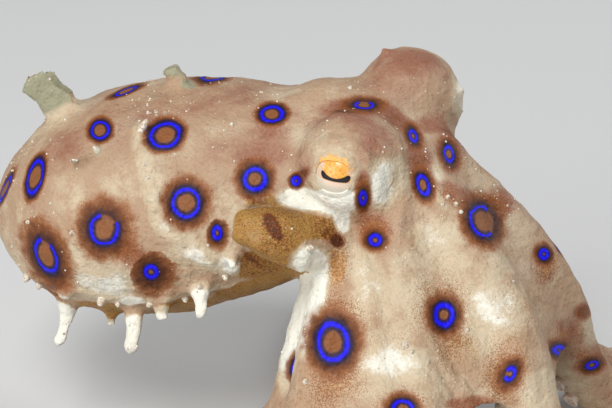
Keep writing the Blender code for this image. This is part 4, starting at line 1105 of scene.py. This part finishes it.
class Marks:
    """The skin's markings: for each point its place in the nearest ring, and that ring's kind."""

    def __init__(self, shape, normals, tree):
        self.points = shape.points
        self.normals = normals
        self.tree = tree
        count = len(self.points)
        self.reach = np.full(count, FAR_REACH)
        self.number = np.full(count, -1)
        self.ring = np.zeros((count, 3))
        self.kind = np.tile(np.array([0.2, 2.0, 1.0]), (count, 1))
        self.made = []

    def add_ring(self, centre, normal, matrix, size, band, gap, halo, flatten=True):
        """Writes one ring. The matrix takes a step from its centre to ring units, 1 at its line."""
        away = self.points - np.array(centre)
        far = np.linalg.norm(away, axis=1)
        facing = self.normals @ np.array(normal)
        radii, beyond = RING_FIELD
        covered = (far < size * (radii + halo) + beyond) & (facing > RING_FIELD_FACING)
        close = np.nonzero(covered)[0]
        step = away[close]
        if flatten:
            step = step - (step @ np.array(normal))[:, None] * np.array(normal)
        place = (step @ matrix.T) * (1 + band)
        reach = np.linalg.norm(place, axis=1)
        better = reach < self.reach[close]
        chosen = close[better]
        self.reach[chosen] = reach[better]
        self.number[chosen] = len(self.made)
        self.ring[chosen, :2] = place[better]
        self.kind[chosen] = (band, gap, halo)
        self.made.append((centre, size))

    def settle(self, shape):
        """Marks the points that share a ring with all their neighbours, where its line is drawn."""
        mixed = self.number[shape.starts] != self.number[shape.ends]
        inner = self.number >= 0
        inner[shape.starts[mixed]] = False
        self.ring[:, 2] = inner

    def free(self, centre, size):
        """Whether a ring of this size would stay clear of all the others."""
        for other, taken in self.made:
            if (centre - other).length <= (size + taken) * RING_SPACING:
                return False
        return True

    def photo_ring(self, x, y, width, height, turn, line, open_at, open_width, halo):
        """A ring at a pixel of the photo, flat on the skin, with the photo's own outline."""
        hit, normal, _, _ = self.tree.ray_cast(CAMERA_AT, photo_ray(x, y))
        if hit is None:
            return None
        close = np.linalg.norm(self.points - np.array(hit), axis=1) < RING_SEAT
        close &= self.normals @ np.array(normal) > RING_SEAT_FACING
        normal = Vector(self.normals[close].mean(axis=0)).normalized() if close.any() else normal
        turn = math.radians(turn)
        gap_turn = math.radians(open_at) - turn
        rows = []
        for (along, upward), across in zip(turn_rows(turn), (width, height)):
            rows.append((CAMERA_RIGHT * along + CAMERA_UP * upward) / (across / 2 * PIXEL))
        matrix = turn_rows(gap_turn) @ np.array(rows)
        gap = math.cos(math.radians(open_width / 2)) if open_width else CLOSED
        size = max(width, height) / 2 * PIXEL
        inset = line / 2 / ((width + height) / 4 - line / 2)
        oblique = normal.dot(CAMERA_BACK) < OBLIQUE
        self.add_ring(hit, normal, matrix, size, inset, gap, halo, oblique)
        return hit, normal, size, inset, gap, halo

    def round_ring(self, centre, normal, size, band, gap, halo, turn=0.0):
        """A round ring that lies flat on the skin."""
        first = normal.orthogonal().normalized()
        second = normal.cross(first)
        along = first * math.cos(turn) + second * math.sin(turn)
        matrix = np.array([list(along / size), list(normal.cross(along) / size)])
        self.add_ring(centre, normal, matrix, size, band, gap, halo)

    def seen(self, point):
        """Whether the camera sees this point of the skin inside the photo's frame."""
        away = point - CAMERA_AT
        depth = -away.dot(CAMERA_BACK)
        scale = CAMERA_LENS / CAMERA_SENSOR * PHOTO_WIDTH / depth
        x = PHOTO_WIDTH / 2 + away.dot(CAMERA_RIGHT) * scale
        y = PHOTO_HEIGHT / 2 - away.dot(CAMERA_UP) * scale
        for place, size in ((x, PHOTO_WIDTH), (y, PHOTO_HEIGHT)):
            if not -SEEN_MARGIN < place < size + SEEN_MARGIN:
                return False
        hit, _, _, _ = self.tree.ray_cast(CAMERA_AT, away.normalized())
        return hit is not None and (hit - point).length < SEEN_DEPTH

    def hidden(self, centre, normal, size):
        """Whether the camera sees neither a ring's middle nor its line."""
        first = normal.orthogonal().normalized() * size
        rim = circle(centre, first, normal.cross(first), 8)
        return not any(self.seen(point) for point in [centre, *rim])


def mirror_body(point):
    """The same place on the animal's other side, by the middle plane of the head or the mantle."""
    middle, turn = MIDDLES[0 if point.x > NECK.x else 1]
    local = turn.inverted() @ (point - middle)
    return middle + turn @ Vector((local.x, -local.y, local.z))


def mirrored(points):
    """An array of points on the other side, by the head's middle plane and by the mantle's."""
    sides = []
    for middle, turn in MIDDLES:
        turn = np.array(turn)
        local = (points - np.array(middle)) @ turn
        sides.append(np.array(middle) + local * np.array((1, -1, 1)) @ turn.T)
    return sides


def draw_rings(marks):
    """All rings: the photo's, their like on the far side, and rows down the arms."""
    draw = random.Random(SEED)
    found = [marks.photo_ring(*ring) for ring in PHOTO_RINGS]
    for hit, _, size, band, gap, halo in [ring for ring in found if ring]:
        if hit.z < RING_LEAST_HEIGHT and hit.x > NECK.x:
            continue
        stray = Vector([draw.uniform(-RING_STRAY, RING_STRAY) * MM for _ in range(3)])
        place = mirror_body(hit) + stray
        near, normal, _, _ = marks.tree.find_nearest(place)
        size = size * draw.uniform(*RING_SIZE_SPREAD)
        turn = draw.uniform(0, math.tau)
        if marks.free(near, size * FAR_SIDE_SPACING) and marks.hidden(near, normal, size):
            marks.round_ring(near, normal, size, min(band, RING_WIDEST_LINE), gap, halo, turn)
    for number, arm in enumerate(ARMS):
        for index, place in enumerate(ARM_RING_PLACES):
            length = (place + draw.uniform(-ARM_RING_STRAY, ARM_RING_STRAY)) * MM
            here, _, side, under = arm_frame(arm, length)
            lean = math.radians(ARM_RING_SIDE) * (1 if (index + number) % 2 else -1)
            out = -under * math.cos(lean) + side * math.sin(lean)
            hit, normal, _, _ = marks.tree.ray_cast(here + out * arm_radius(length) * 3, -out)
            share = length / ARM_LENGTH
            at_root, at_tip = ARM_RING_SIZE
            size = (at_root + (at_tip - at_root) * share) * MM
            size = min(size, arm_radius(length) * ARM_RING_MOST)
            size *= draw.uniform(*RING_SIZE_SPREAD)
            band = draw.choice(ARM_RING_LINES)
            if hit is not None and marks.free(hit, size) and marks.hidden(hit, normal, size):
                marks.round_ring(hit, normal, size, band, CLOSED, ARM_RING_RIM)


def tint(tones, weight, *amounts):
    """Changes the first tones by these amounts, as far as the weight goes at each point."""
    for column, amount in enumerate(amounts):
        tones[:, column] += weight * amount


def add_patch(tones, points, place, halves, turn, sharp, amounts):
    """Changes the tones round a place, in an oval that faces the camera."""
    away = points - np.array(place)
    across = away @ np.array(CAMERA_RIGHT)
    upward = away @ np.array(CAMERA_UP)
    depth = away @ np.array(CAMERA_BACK)
    x = across * math.cos(turn) + upward * math.sin(turn)
    y = -across * math.sin(turn) + upward * math.cos(turn)
    reach = np.sqrt((x / halves[0]) ** 2 + (y / halves[1]) ** 2 + (depth / PATCH_DEPTH) ** 2)
    full, end = [soft + more * sharp for soft, more in PATCH_EDGES]
    weight = 1 - smooth_step(full, end, reach)
    tint(tones, weight, *amounts)


def mantle_place(points):
    """Share along the mantle, place to its left and upward in its own halves, and the girth."""
    local = (points - np.array(MANTLE_TIP)) @ np.array(mantle_turn())
    t = local[:, 0] / (NECK - MANTLE_TIP).length
    girth = np.array([mantle_share(min(1.0, max(0.02, share))) for share in t])
    wide = local[:, 1] / MANTLE_HALF_WIDTH / girth
    high = local[:, 2] / MANTLE_HALF_HEIGHT / girth
    return t, wide, high, np.hypot(wide, high)


def within(values, span):
    return (values > span[0]) & (values < span[1])


def under_mantle(points):
    """How far a point lies on the mantle's underside: its own ochre, and partly painted shade."""
    t, wide, high, girth = mantle_place(points)
    on_mantle = within(t, UNDERSIDE_SPAN) & within(girth, UNDERSIDE_GIRTH)
    near_neck = np.where(wide > 0, smooth_step(*UNDERSIDE_END, t), 1)
    edge = noisy(points, high, UNDERSIDE_WAVES)
    return smooth_step(*UNDERSIDE_EDGE, edge) * on_mantle * near_neck


def on_flaps(points):
    """How far a point belongs to the flaps on the mantle's sides, and to the leaves on its back."""
    t, _, high, girth = mantle_place(points)
    out = smooth_step(*FLAP_GIRTH, girth) * within(t, FLAP_SPAN)
    leaves = smooth_step(*LEAF_GIRTH, girth) * out * (high > LEAF_HEIGHT)
    return out * within(high, FLAP_HEIGHTS), leaves


def on_funnel(points):
    """How far a point belongs to the funnel."""
    line = spline([Vector(point) * MM for point in FUNNEL_POINTS], 4)[FUNNEL_FREE:]
    return smooth_step(*FUNNEL_REACH, line_distance(points, line))


def tint_patches(tones, points, tree):
    """The photo's patches, and their like on the far side unless they belong to one side alone."""
    other_head, other_mantle = mirrored(points)
    for x, y, half_width, half_height, turn, sharp, *amounts in PATCHES:
        hit, _, _, _ = tree.ray_cast(CAMERA_AT, photo_ray(x, y))
        if hit is None:
            continue
        oval = (hit, (half_width * PIXEL, half_height * PIXEL), math.radians(-turn), sharp, amounts)
        add_patch(tones, points, *oval)
        on_arms = hit.x > PATCH_FRONT or (hit.x > NECK.x and hit.z < PATCH_LEAST_HEIGHT)
        of_one_side = amounts[MORE_OCHRE] > 0.2 or amounts[BROWNER] > 2 or on_arms
        if not of_one_side and (mirror_body(hit) - hit).length > PATCH_APART:
            add_patch(tones, other_head if hit.x > NECK.x else other_mantle, *oval)


def tint_eyes(tones, points):
    """Orange over each eye, and pale lids."""
    for _, aim, centre in EYES.values():
        away = points - np.array(centre)
        forward, upward = eye_frame(aim)
        half_width, rise, half_height = EYE_SHADE
        x = away @ np.array(forward) / half_width
        y = (away @ np.array(upward) - rise) / half_height
        out = away @ np.array(aim)
        tones[:, EYE_ORANGE] += smooth_step(*EYE_SHADE_EDGE, np.hypot(x, y)) * (out > 0)
        off_aim = np.linalg.norm(away - np.outer(out, aim), axis=1)
        tint(tones, smooth_step(*PALE_LIDS, off_aim) * (out > 0), *TINTS["lids"])


def skin_tones(points, normals, tree):
    """For each point its six tones: how white, brown, ochre, green, dotted and orange it is."""
    tones = np.zeros((len(points), 6))
    tones[:, WHITER] = noisy(points, *WHITE_TONE)
    tones[:, BROWNER] = noisy(points, *BROWN_TONE)
    on_crown = smooth_step(*CROWN_BACK, points[:, 0]) * smooth_step(*CROWN_TOP, points[:, 2])
    tones[:, DOTTED] = np.clip(noisy(points, *CROWN_DOTS), *CROWN_DOT_LIMITS) * on_crown

    funnel = on_funnel(points)
    *_, before, end = [np.array(point) * MM for point in FUNNEL_POINTS]
    past_end = (points - end) @ (end - before) / np.linalg.norm(end - before)
    tint(tones, funnel, *TINTS["funnel"])
    tint(tones, funnel * smooth_step(*FUNNEL_PALE, past_end), *TINTS["funnel end"])
    flaps, leaves = on_flaps(points)
    tint(tones, flaps, *TINTS["flaps"])
    tint(tones, leaves, *TINTS["leaves"])
    tint_patches(tones, points, tree)
    below = under_mantle(points)
    # The mantle's low side, less white and more ochre: its own colour, and partly painted shade.
    tint(tones, below, *TINTS["mantle's underside"])
    under = smooth_step(*UNDER_FACING, normals[:, 2]) * (points[:, 2] < UNDER_HEIGHT) * (1 - below)
    tint(tones, under, *TINTS["underside"])
    tint_eyes(tones, points)
    return np.clip(tones, *TONE_LIMITS)


def write_vectors(mesh, name, values):
    made = mesh.attributes.new(name, "FLOAT_VECTOR", "POINT")
    made.data.foreach_set("vector", np.ascontiguousarray(values, dtype=np.float32).ravel())


class Value:
    """What a material's nodes work out at a socket. Arithmetic with it adds math nodes."""

    def __init__(self, shade, socket):
        self.shade = shade
        self.socket = socket

    def __add__(self, other):
        return self.shade.math("ADD", self, other)

    def __radd__(self, other):
        return self.shade.math("ADD", other, self)

    def __sub__(self, other):
        return self.shade.math("SUBTRACT", self, other)

    def __mul__(self, other):
        return self.shade.math("MULTIPLY", self, other)

    def __truediv__(self, other):
        return self.shade.math("DIVIDE", self, other)

    def __abs__(self):
        return self.shade.math("ABSOLUTE", self)


class Shade:
    """One material, its shader's plain settings, and short ways to add nodes to it."""

    def __init__(self, name, settings):
        self.material = bpy.data.materials.new(name)
        self.material.use_nodes = True
        self.tree = self.material.node_tree
        self.inputs = self.tree.nodes["Principled BSDF"].inputs
        self.coordinates = Value(self, self.tree.nodes.new("ShaderNodeTexCoord").outputs["Object"])
        for socket, setting in settings.items():
            self.inputs[socket].default_value = setting

    def put(self, socket, value):
        if isinstance(value, Value):
            self.tree.links.new(value.socket, socket)
        else:
            socket.default_value = value

    def add(self, kind, inputs, **settings):
        """A node with these inputs, by place or by name, and these settings."""
        made = self.tree.nodes.new(kind)
        for name, setting in settings.items():
            setattr(made, name, setting)
        for name, value in inputs.items():
            self.put(made.inputs[name], value)
        return made.outputs

    def math(self, operation, *values, clamp=False):
        settings = {"operation": operation, "use_clamp": clamp}
        return Value(self, self.add("ShaderNodeMath", dict(enumerate(values)), **settings)[0])

    def mix(self, share, first, second):
        inputs = {"Factor": share, "A": first, "B": second}
        return Value(self, self.add("ShaderNodeMix", inputs, data_type="RGBA")["Result"])

    def ramp(self, value, low, high):
        """0 below low and 1 above high, smooth between; low may be the greater of the two."""
        inputs = {
            "Value": value, "From Min": min(low, high), "From Max": max(low, high),
            "To Min": 0.0 if low < high else 1.0, "To Max": 1.0 if low < high else 0.0,
        }
        made = self.add("ShaderNodeMapRange", inputs, interpolation_type="SMOOTHSTEP")
        return Value(self, made["Result"])

    def noise(self, size, detail, output="Fac"):
        inputs = {"Scale": 1 / size, "Detail": detail, "Vector": self.coordinates}
        return Value(self, self.add("ShaderNodeTexNoise", inputs)[output])

    def dots(self, size):
        """Distance to the nearest dot middle, in dot spacings."""
        inputs = {"Scale": 1 / size, "Vector": self.coordinates}
        return Value(self, self.add("ShaderNodeTexVoronoi", inputs)["Distance"])

    def split(self, value, kind="ShaderNodeSeparateXYZ"):
        """The three numbers of a vector or colour."""
        return [Value(self, output) for output in self.add(kind, {0: value})]

    def parts(self, name):
        """The three numbers of a vector attribute."""
        read = self.add("ShaderNodeAttribute", {}, attribute_name=name)
        return self.split(Value(self, read["Vector"]))

    def bump(self, height, distance, strength, below=None):
        inputs = {"Distance": distance, "Strength": strength, "Height": height}
        if below is not None:
            inputs["Normal"] = below
        return Value(self, self.add("ShaderNodeBump", inputs)["Normal"])


def ring_masks(s):
    """Where the blue line, its dark edge, the ring's inside and the dark rim round it lie."""
    shake = s.noise(RING_SHAKE_SIZE, 2.0, "Color")
    shake_u, shake_v, shake_width = s.split(shake, "ShaderNodeSeparateColor")
    u, v, near = s.parts("ring")
    band, gap, halo = s.parts("kind")
    reach, _, _ = s.parts("field")
    u = u + (shake_u - 0.5) * RING_SHAKE
    v = v + (shake_v - 0.5) * RING_SHAKE
    r = s.math("SQRT", u * u + v * v)
    width = band * (RING_LINE_LEAST + shake_width * RING_LINE_CHANGE)
    off_line = abs(r - 1.0) - width
    closed = s.ramp(u / s.math("MAXIMUM", r, 0.01) - gap, 0.06, -0.06)
    inner = s.ramp(near, 0.75, 0.95)
    line = s.ramp(off_line, 0.035, -0.035) * closed * inner
    edge = s.ramp(off_line, 0.30, 0.10) * inner * (closed * 0.85 + 0.15)
    inside = s.ramp(r, 1.05, 0.85) * inner
    ragged = (s.noise(RIM_NOISE_SIZE, 4.0) - 0.5) * RIM_RAGGED
    rim = s.math("SUBTRACT", 1.0, (reach - 1.0 - band) / halo + ragged, clamp=True)
    return line, s.ramp(off_line / width, -0.15, -0.75), edge, inside, rim


def skin_ground(s, white, brown, ochre, green, uneven):
    """The skin's ground colour from its tones."""
    pale = white + uneven
    ground = s.mix(s.ramp(pale, -0.10, 0.75), TAN, CREAM)
    ground = s.mix(s.ramp(pale, 0.85, 1.55), ground, WHITE)
    ground = s.mix(s.ramp(brown + uneven * 0.8, 0.15, 1.1), ground, PINK_BROWN)
    ground = s.mix(s.ramp(ochre + uneven * 0.5, 0.25, 0.85), ground, OCHRE)
    ground = s.mix(s.ramp(green + uneven * 0.4, 0.15, 0.9), ground, GREEN)
    blotch = s.ramp(brown + uneven * 0.6, 0.95, 1.8)
    ground = s.mix(blotch * 0.8, ground, BROWN)
    return s.mix(s.ramp(blotch, 0.4, 1.2), ground, DARK_BROWN)


def skin_material():
    """Cream to tan skin with ochre parts, fine brown dots, and the rings with their dark rims."""
    s = Shade("octopus_skin", SKIN_SETTINGS)
    line, bright, edge, inside, rim = ring_masks(s)
    white, brown, ochre = s.parts("tone")
    _, green, orange = s.parts("field")
    dotted, _, _ = s.parts("dotted")
    mottle = s.noise(MOTTLE_SIZE, 5.0) - 0.5
    grain = s.noise(GRAIN_SIZE, 3.0)
    uneven = mottle * MOTTLE_SHARE + (grain - 0.5) * GRAIN_SHARE
    ground = skin_ground(s, white, brown, ochre, green, uneven)
    over_eye = s.ramp(orange * 1.15 - s.dots(EYE_DOT_SPACING), 0.0, 0.25)
    ground = s.mix(over_eye * 0.85, ground, IRIS)

    # How much of the skin the fine dots cover, and where they are rusty.
    amount = s.ramp(brown, 0.0, 1.2) * 0.16 + 0.13
    amount = amount + s.ramp(ochre, 0.1, 1.0) * 0.26
    amount = amount - s.ramp(white, 0.5, 1.2) * 0.12
    amount = amount + mottle * 0.5
    rust = s.math("MAXIMUM", rim * 0.62, dotted * 0.42)
    amount = amount + rust
    fine = s.ramp(s.dots(FINE_DOT_SPACING) - amount, 0.07, -0.07)
    ground = s.mix(s.ramp(rust, 0.05, 0.60) * 0.35, ground, ORANGE)
    dots = s.mix(s.ramp(dotted - rim, 0.75, 1.05), RUST, ORANGE_DOTS)
    colour = s.mix(fine * 0.66, ground, dots)
    colour = s.mix(s.ramp(rim, 0.0, 0.60) * 0.85, colour, RUST)
    dark = s.ramp(s.dots(DARK_DOT_SPACING) - (amount - 0.14), 0.06, -0.06)
    colour = s.mix(dark * (0.40 + s.ramp(ochre, 0.3, 0.9) * 0.40), colour, BROWN)

    # The rings, from the dark rim in to the blue line.
    colour = s.mix(s.ramp(rim, 0.30, 1.0) * 0.94, colour, DARK_BROWN)
    spotted = s.mix(fine * 0.6, RING_INSIDE, RUST)
    colour = s.mix(inside * 0.9, colour, spotted)
    colour = s.mix(edge * 0.93, colour, RING_EDGE)
    blue = s.mix(bright, RING_DEEP, RING_BLUE)
    s.put(s.inputs["Base Color"], s.mix(line, colour, blue))
    # The blue line also glows a little through the skin's emission: a painted glow, as the rings
    # are no lamp.
    s.put(s.inputs["Emission Color"], s.mix(line, NO_LIGHT, blue))
    s.put(s.inputs["Roughness"], 0.42 + grain * 0.25)
    lumps = s.bump(s.noise(LUMP_SIZE, 4.0), 0.40 * MM, 0.8)
    lumps = s.bump(s.ramp(s.dots(BEAD_SPACING), 0.45, 0.05), 0.10 * MM, 0.6, lumps)
    s.put(s.inputs["Normal"], s.bump(grain, 0.10 * MM, 0.9, lumps))
    return s.material


def finish_piece(piece, material, slot, *nodes):
    """Gives a piece its material, hides the parts that it replaces, and says what it rides on."""
    piece.data.materials.clear()
    piece.data.materials.append(material)
    piece.location = SHIFT
    if nodes:
        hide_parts(*nodes)
    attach(piece, "root")


def make_skin():
    skin = raw_skin()
    refine_eyes(skin)
    shape = Shape(skin.data)
    shape.smooth(3)
    shape.fill_hollows(FILL_ROUNDS)
    on_head = smooth_step(*HEAD_STARTS, shape.points[:, 2]) * (shape.points[:, 0] > NECK.x)
    shape.fill_hollows(HEAD_FILL_ROUNDS, on_head[:, None])
    wrinkle(shape)
    faces = [tuple(face.vertices) for face in skin.data.polygons]
    add_folds(shape, skin_tree_of(shape, faces))
    open_eyes(shape)
    normals = shape.normals()
    tree = skin_tree_of(shape, faces)
    marks = Marks(shape, normals, tree)
    draw_rings(marks)
    marks.settle(shape)
    tones = skin_tones(shape.points, normals, tree)
    field = np.stack((marks.reach, tones[:, GREENER], tones[:, EYE_ORANGE]), axis=1)
    write_vectors(skin.data, "ring", marks.ring)
    write_vectors(skin.data, "kind", marks.kind)
    write_vectors(skin.data, "dotted", np.stack((tones[:, DOTTED],) * 3, axis=1))
    write_vectors(skin.data, "tone", tones[:, :3])
    write_vectors(skin.data, "field", field)
    skin.data.shade_smooth()
    finish_piece(skin, skin_material(), "arm_skin", *FLESH_NODES)
    return tree, marks


def pupil_shape(s, across, upward):
    """Where the pupil is, and how far a point lies outside its bow. Lengths are in mm."""
    square = across * across
    bow = square * PUPIL_BEND
    off = abs(upward - bow) - (square * PUPIL_WIDENING + PUPIL_HALF_HEIGHT)
    past = s.math("MAXIMUM", (abs(across) - PUPIL_HALF_WIDTH) / PUPIL_END, 0.0)
    tall = (upward - bow) / 0.45
    rounded = past * past + tall * tall
    ends = s.math("MAXIMUM", s.ramp(rounded, 1.06, 0.94), s.math("LESS_THAN", past, 0.001))
    return s.ramp(off, 0.05, -0.05) * ends, off


def eye_material():
    """Orange iris, paler below, with a dark pupil like a shallow smile."""
    s = Shade("octopus_eye", EYE_SETTINGS)
    x, y, _ = s.split(s.coordinates)
    across = x / MM + PUPIL_PLACE[0]
    upward = y / MM + PUPIL_PLACE[1] + across * PUPIL_SLOPE
    pupil, off = pupil_shape(s, across, upward)
    streak = s.noise(0.30 * MM, 4.0)
    shaken = upward + (streak - 0.5) * 0.5
    colour = s.mix(s.ramp(streak, 0.35, 0.75), IRIS, IRIS_DEEP)
    glints = s.dots(0.20 * MM)
    colour = s.mix(s.ramp(glints, 0.35, 0.15) * 0.5, colour, IRIS_PALE)
    colour = s.mix(s.ramp(shaken, 0.05, -0.30), colour, IRIS_PALE)
    faded = glints + (abs(across) + streak * 0.4) * 0.9
    colour = s.mix(s.ramp(faded, 1.95, 2.35), colour, EYE_CREAM)
    colour = s.mix(s.ramp(shaken, 2.1, 2.7), colour, EYE_CREAM)
    colour = s.mix(s.ramp(shaken, -0.65, -1.10), colour, EYE_CREAM)
    colour = s.mix(s.ramp(off, 0.20, 0.02) * 0.3, colour, IRIS_DEEP)
    s.put(s.inputs["Base Color"], s.mix(pupil, colour, PUPIL_BLACK))
    return s.material


def make_eyes():
    material = eye_material()
    for side, (_, aim, centre) in EYES.items():
        forward, upward = eye_frame(aim)
        form = bmesh.new()
        bmesh.ops.create_uvsphere(form, u_segments=64, v_segments=40, radius=EYE_RADIUS)
        eye = add_form("eyeball_" + side, form)
        eye.data.shade_smooth()
        eye.data.materials.append(material)
        turn = Matrix((forward, upward, forward.cross(upward))).transposed()
        if turn.col[2].dot(aim) < 0:
            turn = Matrix((-forward, upward, aim)).transposed()
        eye.matrix_world = Matrix.Translation(centre + SHIFT) @ turn.to_4x4()
        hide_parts("eye_" + side)
        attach(eye, "root")


def copies(name, template, faces, placings):
    """One mesh of many copies of a small form, each with its own 4 x 4 placing, above the floor."""
    count = len(template)
    points = np.concatenate((template, np.ones((count, 1))), axis=1)
    placed = np.concatenate([(points @ np.array(placing).T)[:, :3] for placing in placings])
    everywhere = []
    for index in range(len(placings)):
        everywhere += [tuple(corner + index * count for corner in face) for face in faces]
    placed[:, 2] = np.maximum(placed[:, 2], FLOOR_GAP)
    mesh = bpy.data.meshes.new(name)
    mesh.from_pydata([tuple(point) for point in placed], [], everywhere)
    mesh.shade_smooth()
    return add_object(name, mesh)


def turned(profile, count):
    """A form turned about Z from a profile of (radius, height); it closes where the radius is 0."""
    points = []
    faces = []
    rows = []
    for radius, height in profile:
        if radius == 0:
            rows.append([len(points)] * count)
            points.append((0, 0, height))
            continue
        rows.append(list(range(len(points), len(points) + count)))
        for index in range(count):
            turn = math.tau * index / count
            points.append((radius * math.cos(turn), radius * math.sin(turn), height))
    for low, high in zip(rows, rows[1:]):
        for index in range(count):
            after = (index + 1) % count
            corners = (low[index], low[after], high[after], high[index])
            faces.append(tuple(dict.fromkeys(corners)))
    return np.array(points), faces


def placing(point, out, ahead, size):
    """The 4 x 4 placing of a form whose Z goes out of the skin and whose X goes along it."""
    ahead = (ahead - out * ahead.dot(out)).normalized()
    turn = Matrix((ahead, out.cross(ahead), out)).transposed().to_4x4()
    return Matrix.Translation(point) @ turn @ Matrix.Scale(size, 4)


def sucker_material():
    """Pale suckers with browner spots."""
    s = Shade("octopus_sucker", SUCKER_SETTINGS)
    grain = s.noise(0.5 * MM, 3.0)
    s.put(s.inputs["Base Color"], s.mix(s.ramp(grain, 0.35, 0.7), SUCKER_PALE, SUCKER_BROWN))
    s.put(s.inputs["Normal"], s.bump(grain, 0.05 * MM, 0.5))
    return s.material


def make_suckers():
    """Two rows of suckers down every arm, from near the mouth to the tip."""
    template, faces = turned(SUCKER_PROFILE, SUCKER_SIDES)
    placings = []
    draw = random.Random(SEED)
    for arm in ARMS:
        length = SUCKER_START
        row = 0
        while length < ARM_LENGTH - SUCKER_LEAST:
            radius = max(SUCKER_LEAST, arm_radius(length) * SUCKER_SHARE)
            radius *= draw.uniform(*SUCKER_SIZE_SPREAD)
            here, ahead, side, under = arm_frame(arm, length)
            sign = 1 if row % 2 else -1
            out = under * math.cos(SUCKER_SPREAD) + side * (sign * math.sin(SUCKER_SPREAD))
            root = here + out * arm_radius(length) * SUCKER_SEAT
            placings.append(placing(root, out, ahead, radius))
            row += 1
            length += radius * SUCKER_SPACING + SUCKER_BETWEEN
    suckers = copies("suckers", template, faces, placings)
    finish_piece(suckers, sucker_material(), "arm_skin")


def wart_material():
    s = Shade("octopus_wart", {"Roughness": 0.5})
    share = s.ramp(s.noise(0.3 * MM, 2.0), 0.3, 0.7)
    s.put(s.inputs["Base Color"], s.mix(share, WHITE, TAN))
    return s.material


def make_warts(tree, marks):
    """Small pale warts on mantle, head and crown, clear of the rings, and the photo's papillae."""
    draw = random.Random(SEED + 1)
    template, faces = turned(WART_PROFILE, WART_SIDES)
    placings = []
    while len(placings) < WART_COUNT:
        start = Vector([draw.uniform(*span) for span in WART_BOX]) * MM
        near, normal, _, distance = tree.find_nearest(start)
        gaps = [(near - centre).length for _, _, centre in EYES.values()]
        at_eye = min(gaps) <= EYE_RADIUS + WART_EYE_GAP
        if distance > WART_DRAW_REACH or normal.z < WART_LEAST_RISE or at_eye:
            continue
        crowd = noise.noise(near / WART_CROWD_SIZE)
        if draw.random() > WART_CHANCE[0] + WART_CHANCE[1] * crowd:
            continue
        nearest = np.argmin(np.linalg.norm(marks.points - np.array(near), axis=1))
        if marks.reach[nearest] < WART_RING_GAP:
            continue
        spread = draw.random() ** WART_SIZE_POWER
        size = WART_SIZES[0] + (WART_SIZES[1] - WART_SIZES[0]) * spread
        placings.append(placing(near, normal, normal.orthogonal(), size))
    for x, y, length, width in PAPILLAE:
        hit, normal, _, _ = tree.ray_cast(CAMERA_AT, photo_ray(x, y))
        if hit is not None:
            lean = draw.uniform(-PAPILLA_LEAN, PAPILLA_LEAN)
            way = (normal + lean * CAMERA_UP).normalized()
            stretch = Matrix.Diagonal((1, 1, 2 * length / width, 1))
            placings.append(placing(hit, way, normal.orthogonal(), width / 2 * MM) @ stretch)
    warts = copies("warts", template, faces, placings)
    finish_piece(warts, wart_material(), "mantle_skin")


def make_floor():
    form = bmesh.new()
    bmesh.ops.create_grid(form, x_segments=1, y_segments=1, size=FLOOR_SIZE)
    floor = add_form("floor", form)
    floor.data.materials.append(Shade("floor", FLOOR_SETTINGS).material)


def make_light():
    """Square soft lights that look at the animal, and a pale air round it."""
    for name, place, size, power in LIGHTS:
        lamp = bpy.data.lights.new(name, "AREA")
        lamp.size = size
        lamp.energy = power
        place = Vector(place)
        turn = (place - LIGHTS_AIM).normalized().to_track_quat("Z", "Y").to_matrix().to_4x4()
        add_object(name, lamp).matrix_world = Matrix.Translation(place) @ turn
    world = bpy.data.worlds.new("studio")
    bpy.context.scene.world = world
    world.use_nodes = True
    air = world.node_tree.nodes["Background"].inputs
    air["Color"].default_value = AIR_COLOUR
    air["Strength"].default_value = AIR_STRENGTH
    bpy.context.scene.view_settings.view_transform = "Standard"


def make_camera():
    data = bpy.data.cameras.new("camera")
    data.sensor_width = CAMERA_SENSOR
    data.lens = CAMERA_LENS
    data.clip_start = 10 * MM
    camera = add_object("camera", data)
    turn = Matrix((CAMERA_RIGHT, CAMERA_UP, CAMERA_BACK)).transposed()
    camera.matrix_world = Matrix.Translation(CAMERA_AT + SHIFT) @ turn.to_4x4()
    bpy.context.scene.camera = camera


skin_tree, skin_marks = make_skin()
make_eyes()
make_suckers()
make_warts(skin_tree, skin_marks)
make_floor()
make_light()
make_camera()
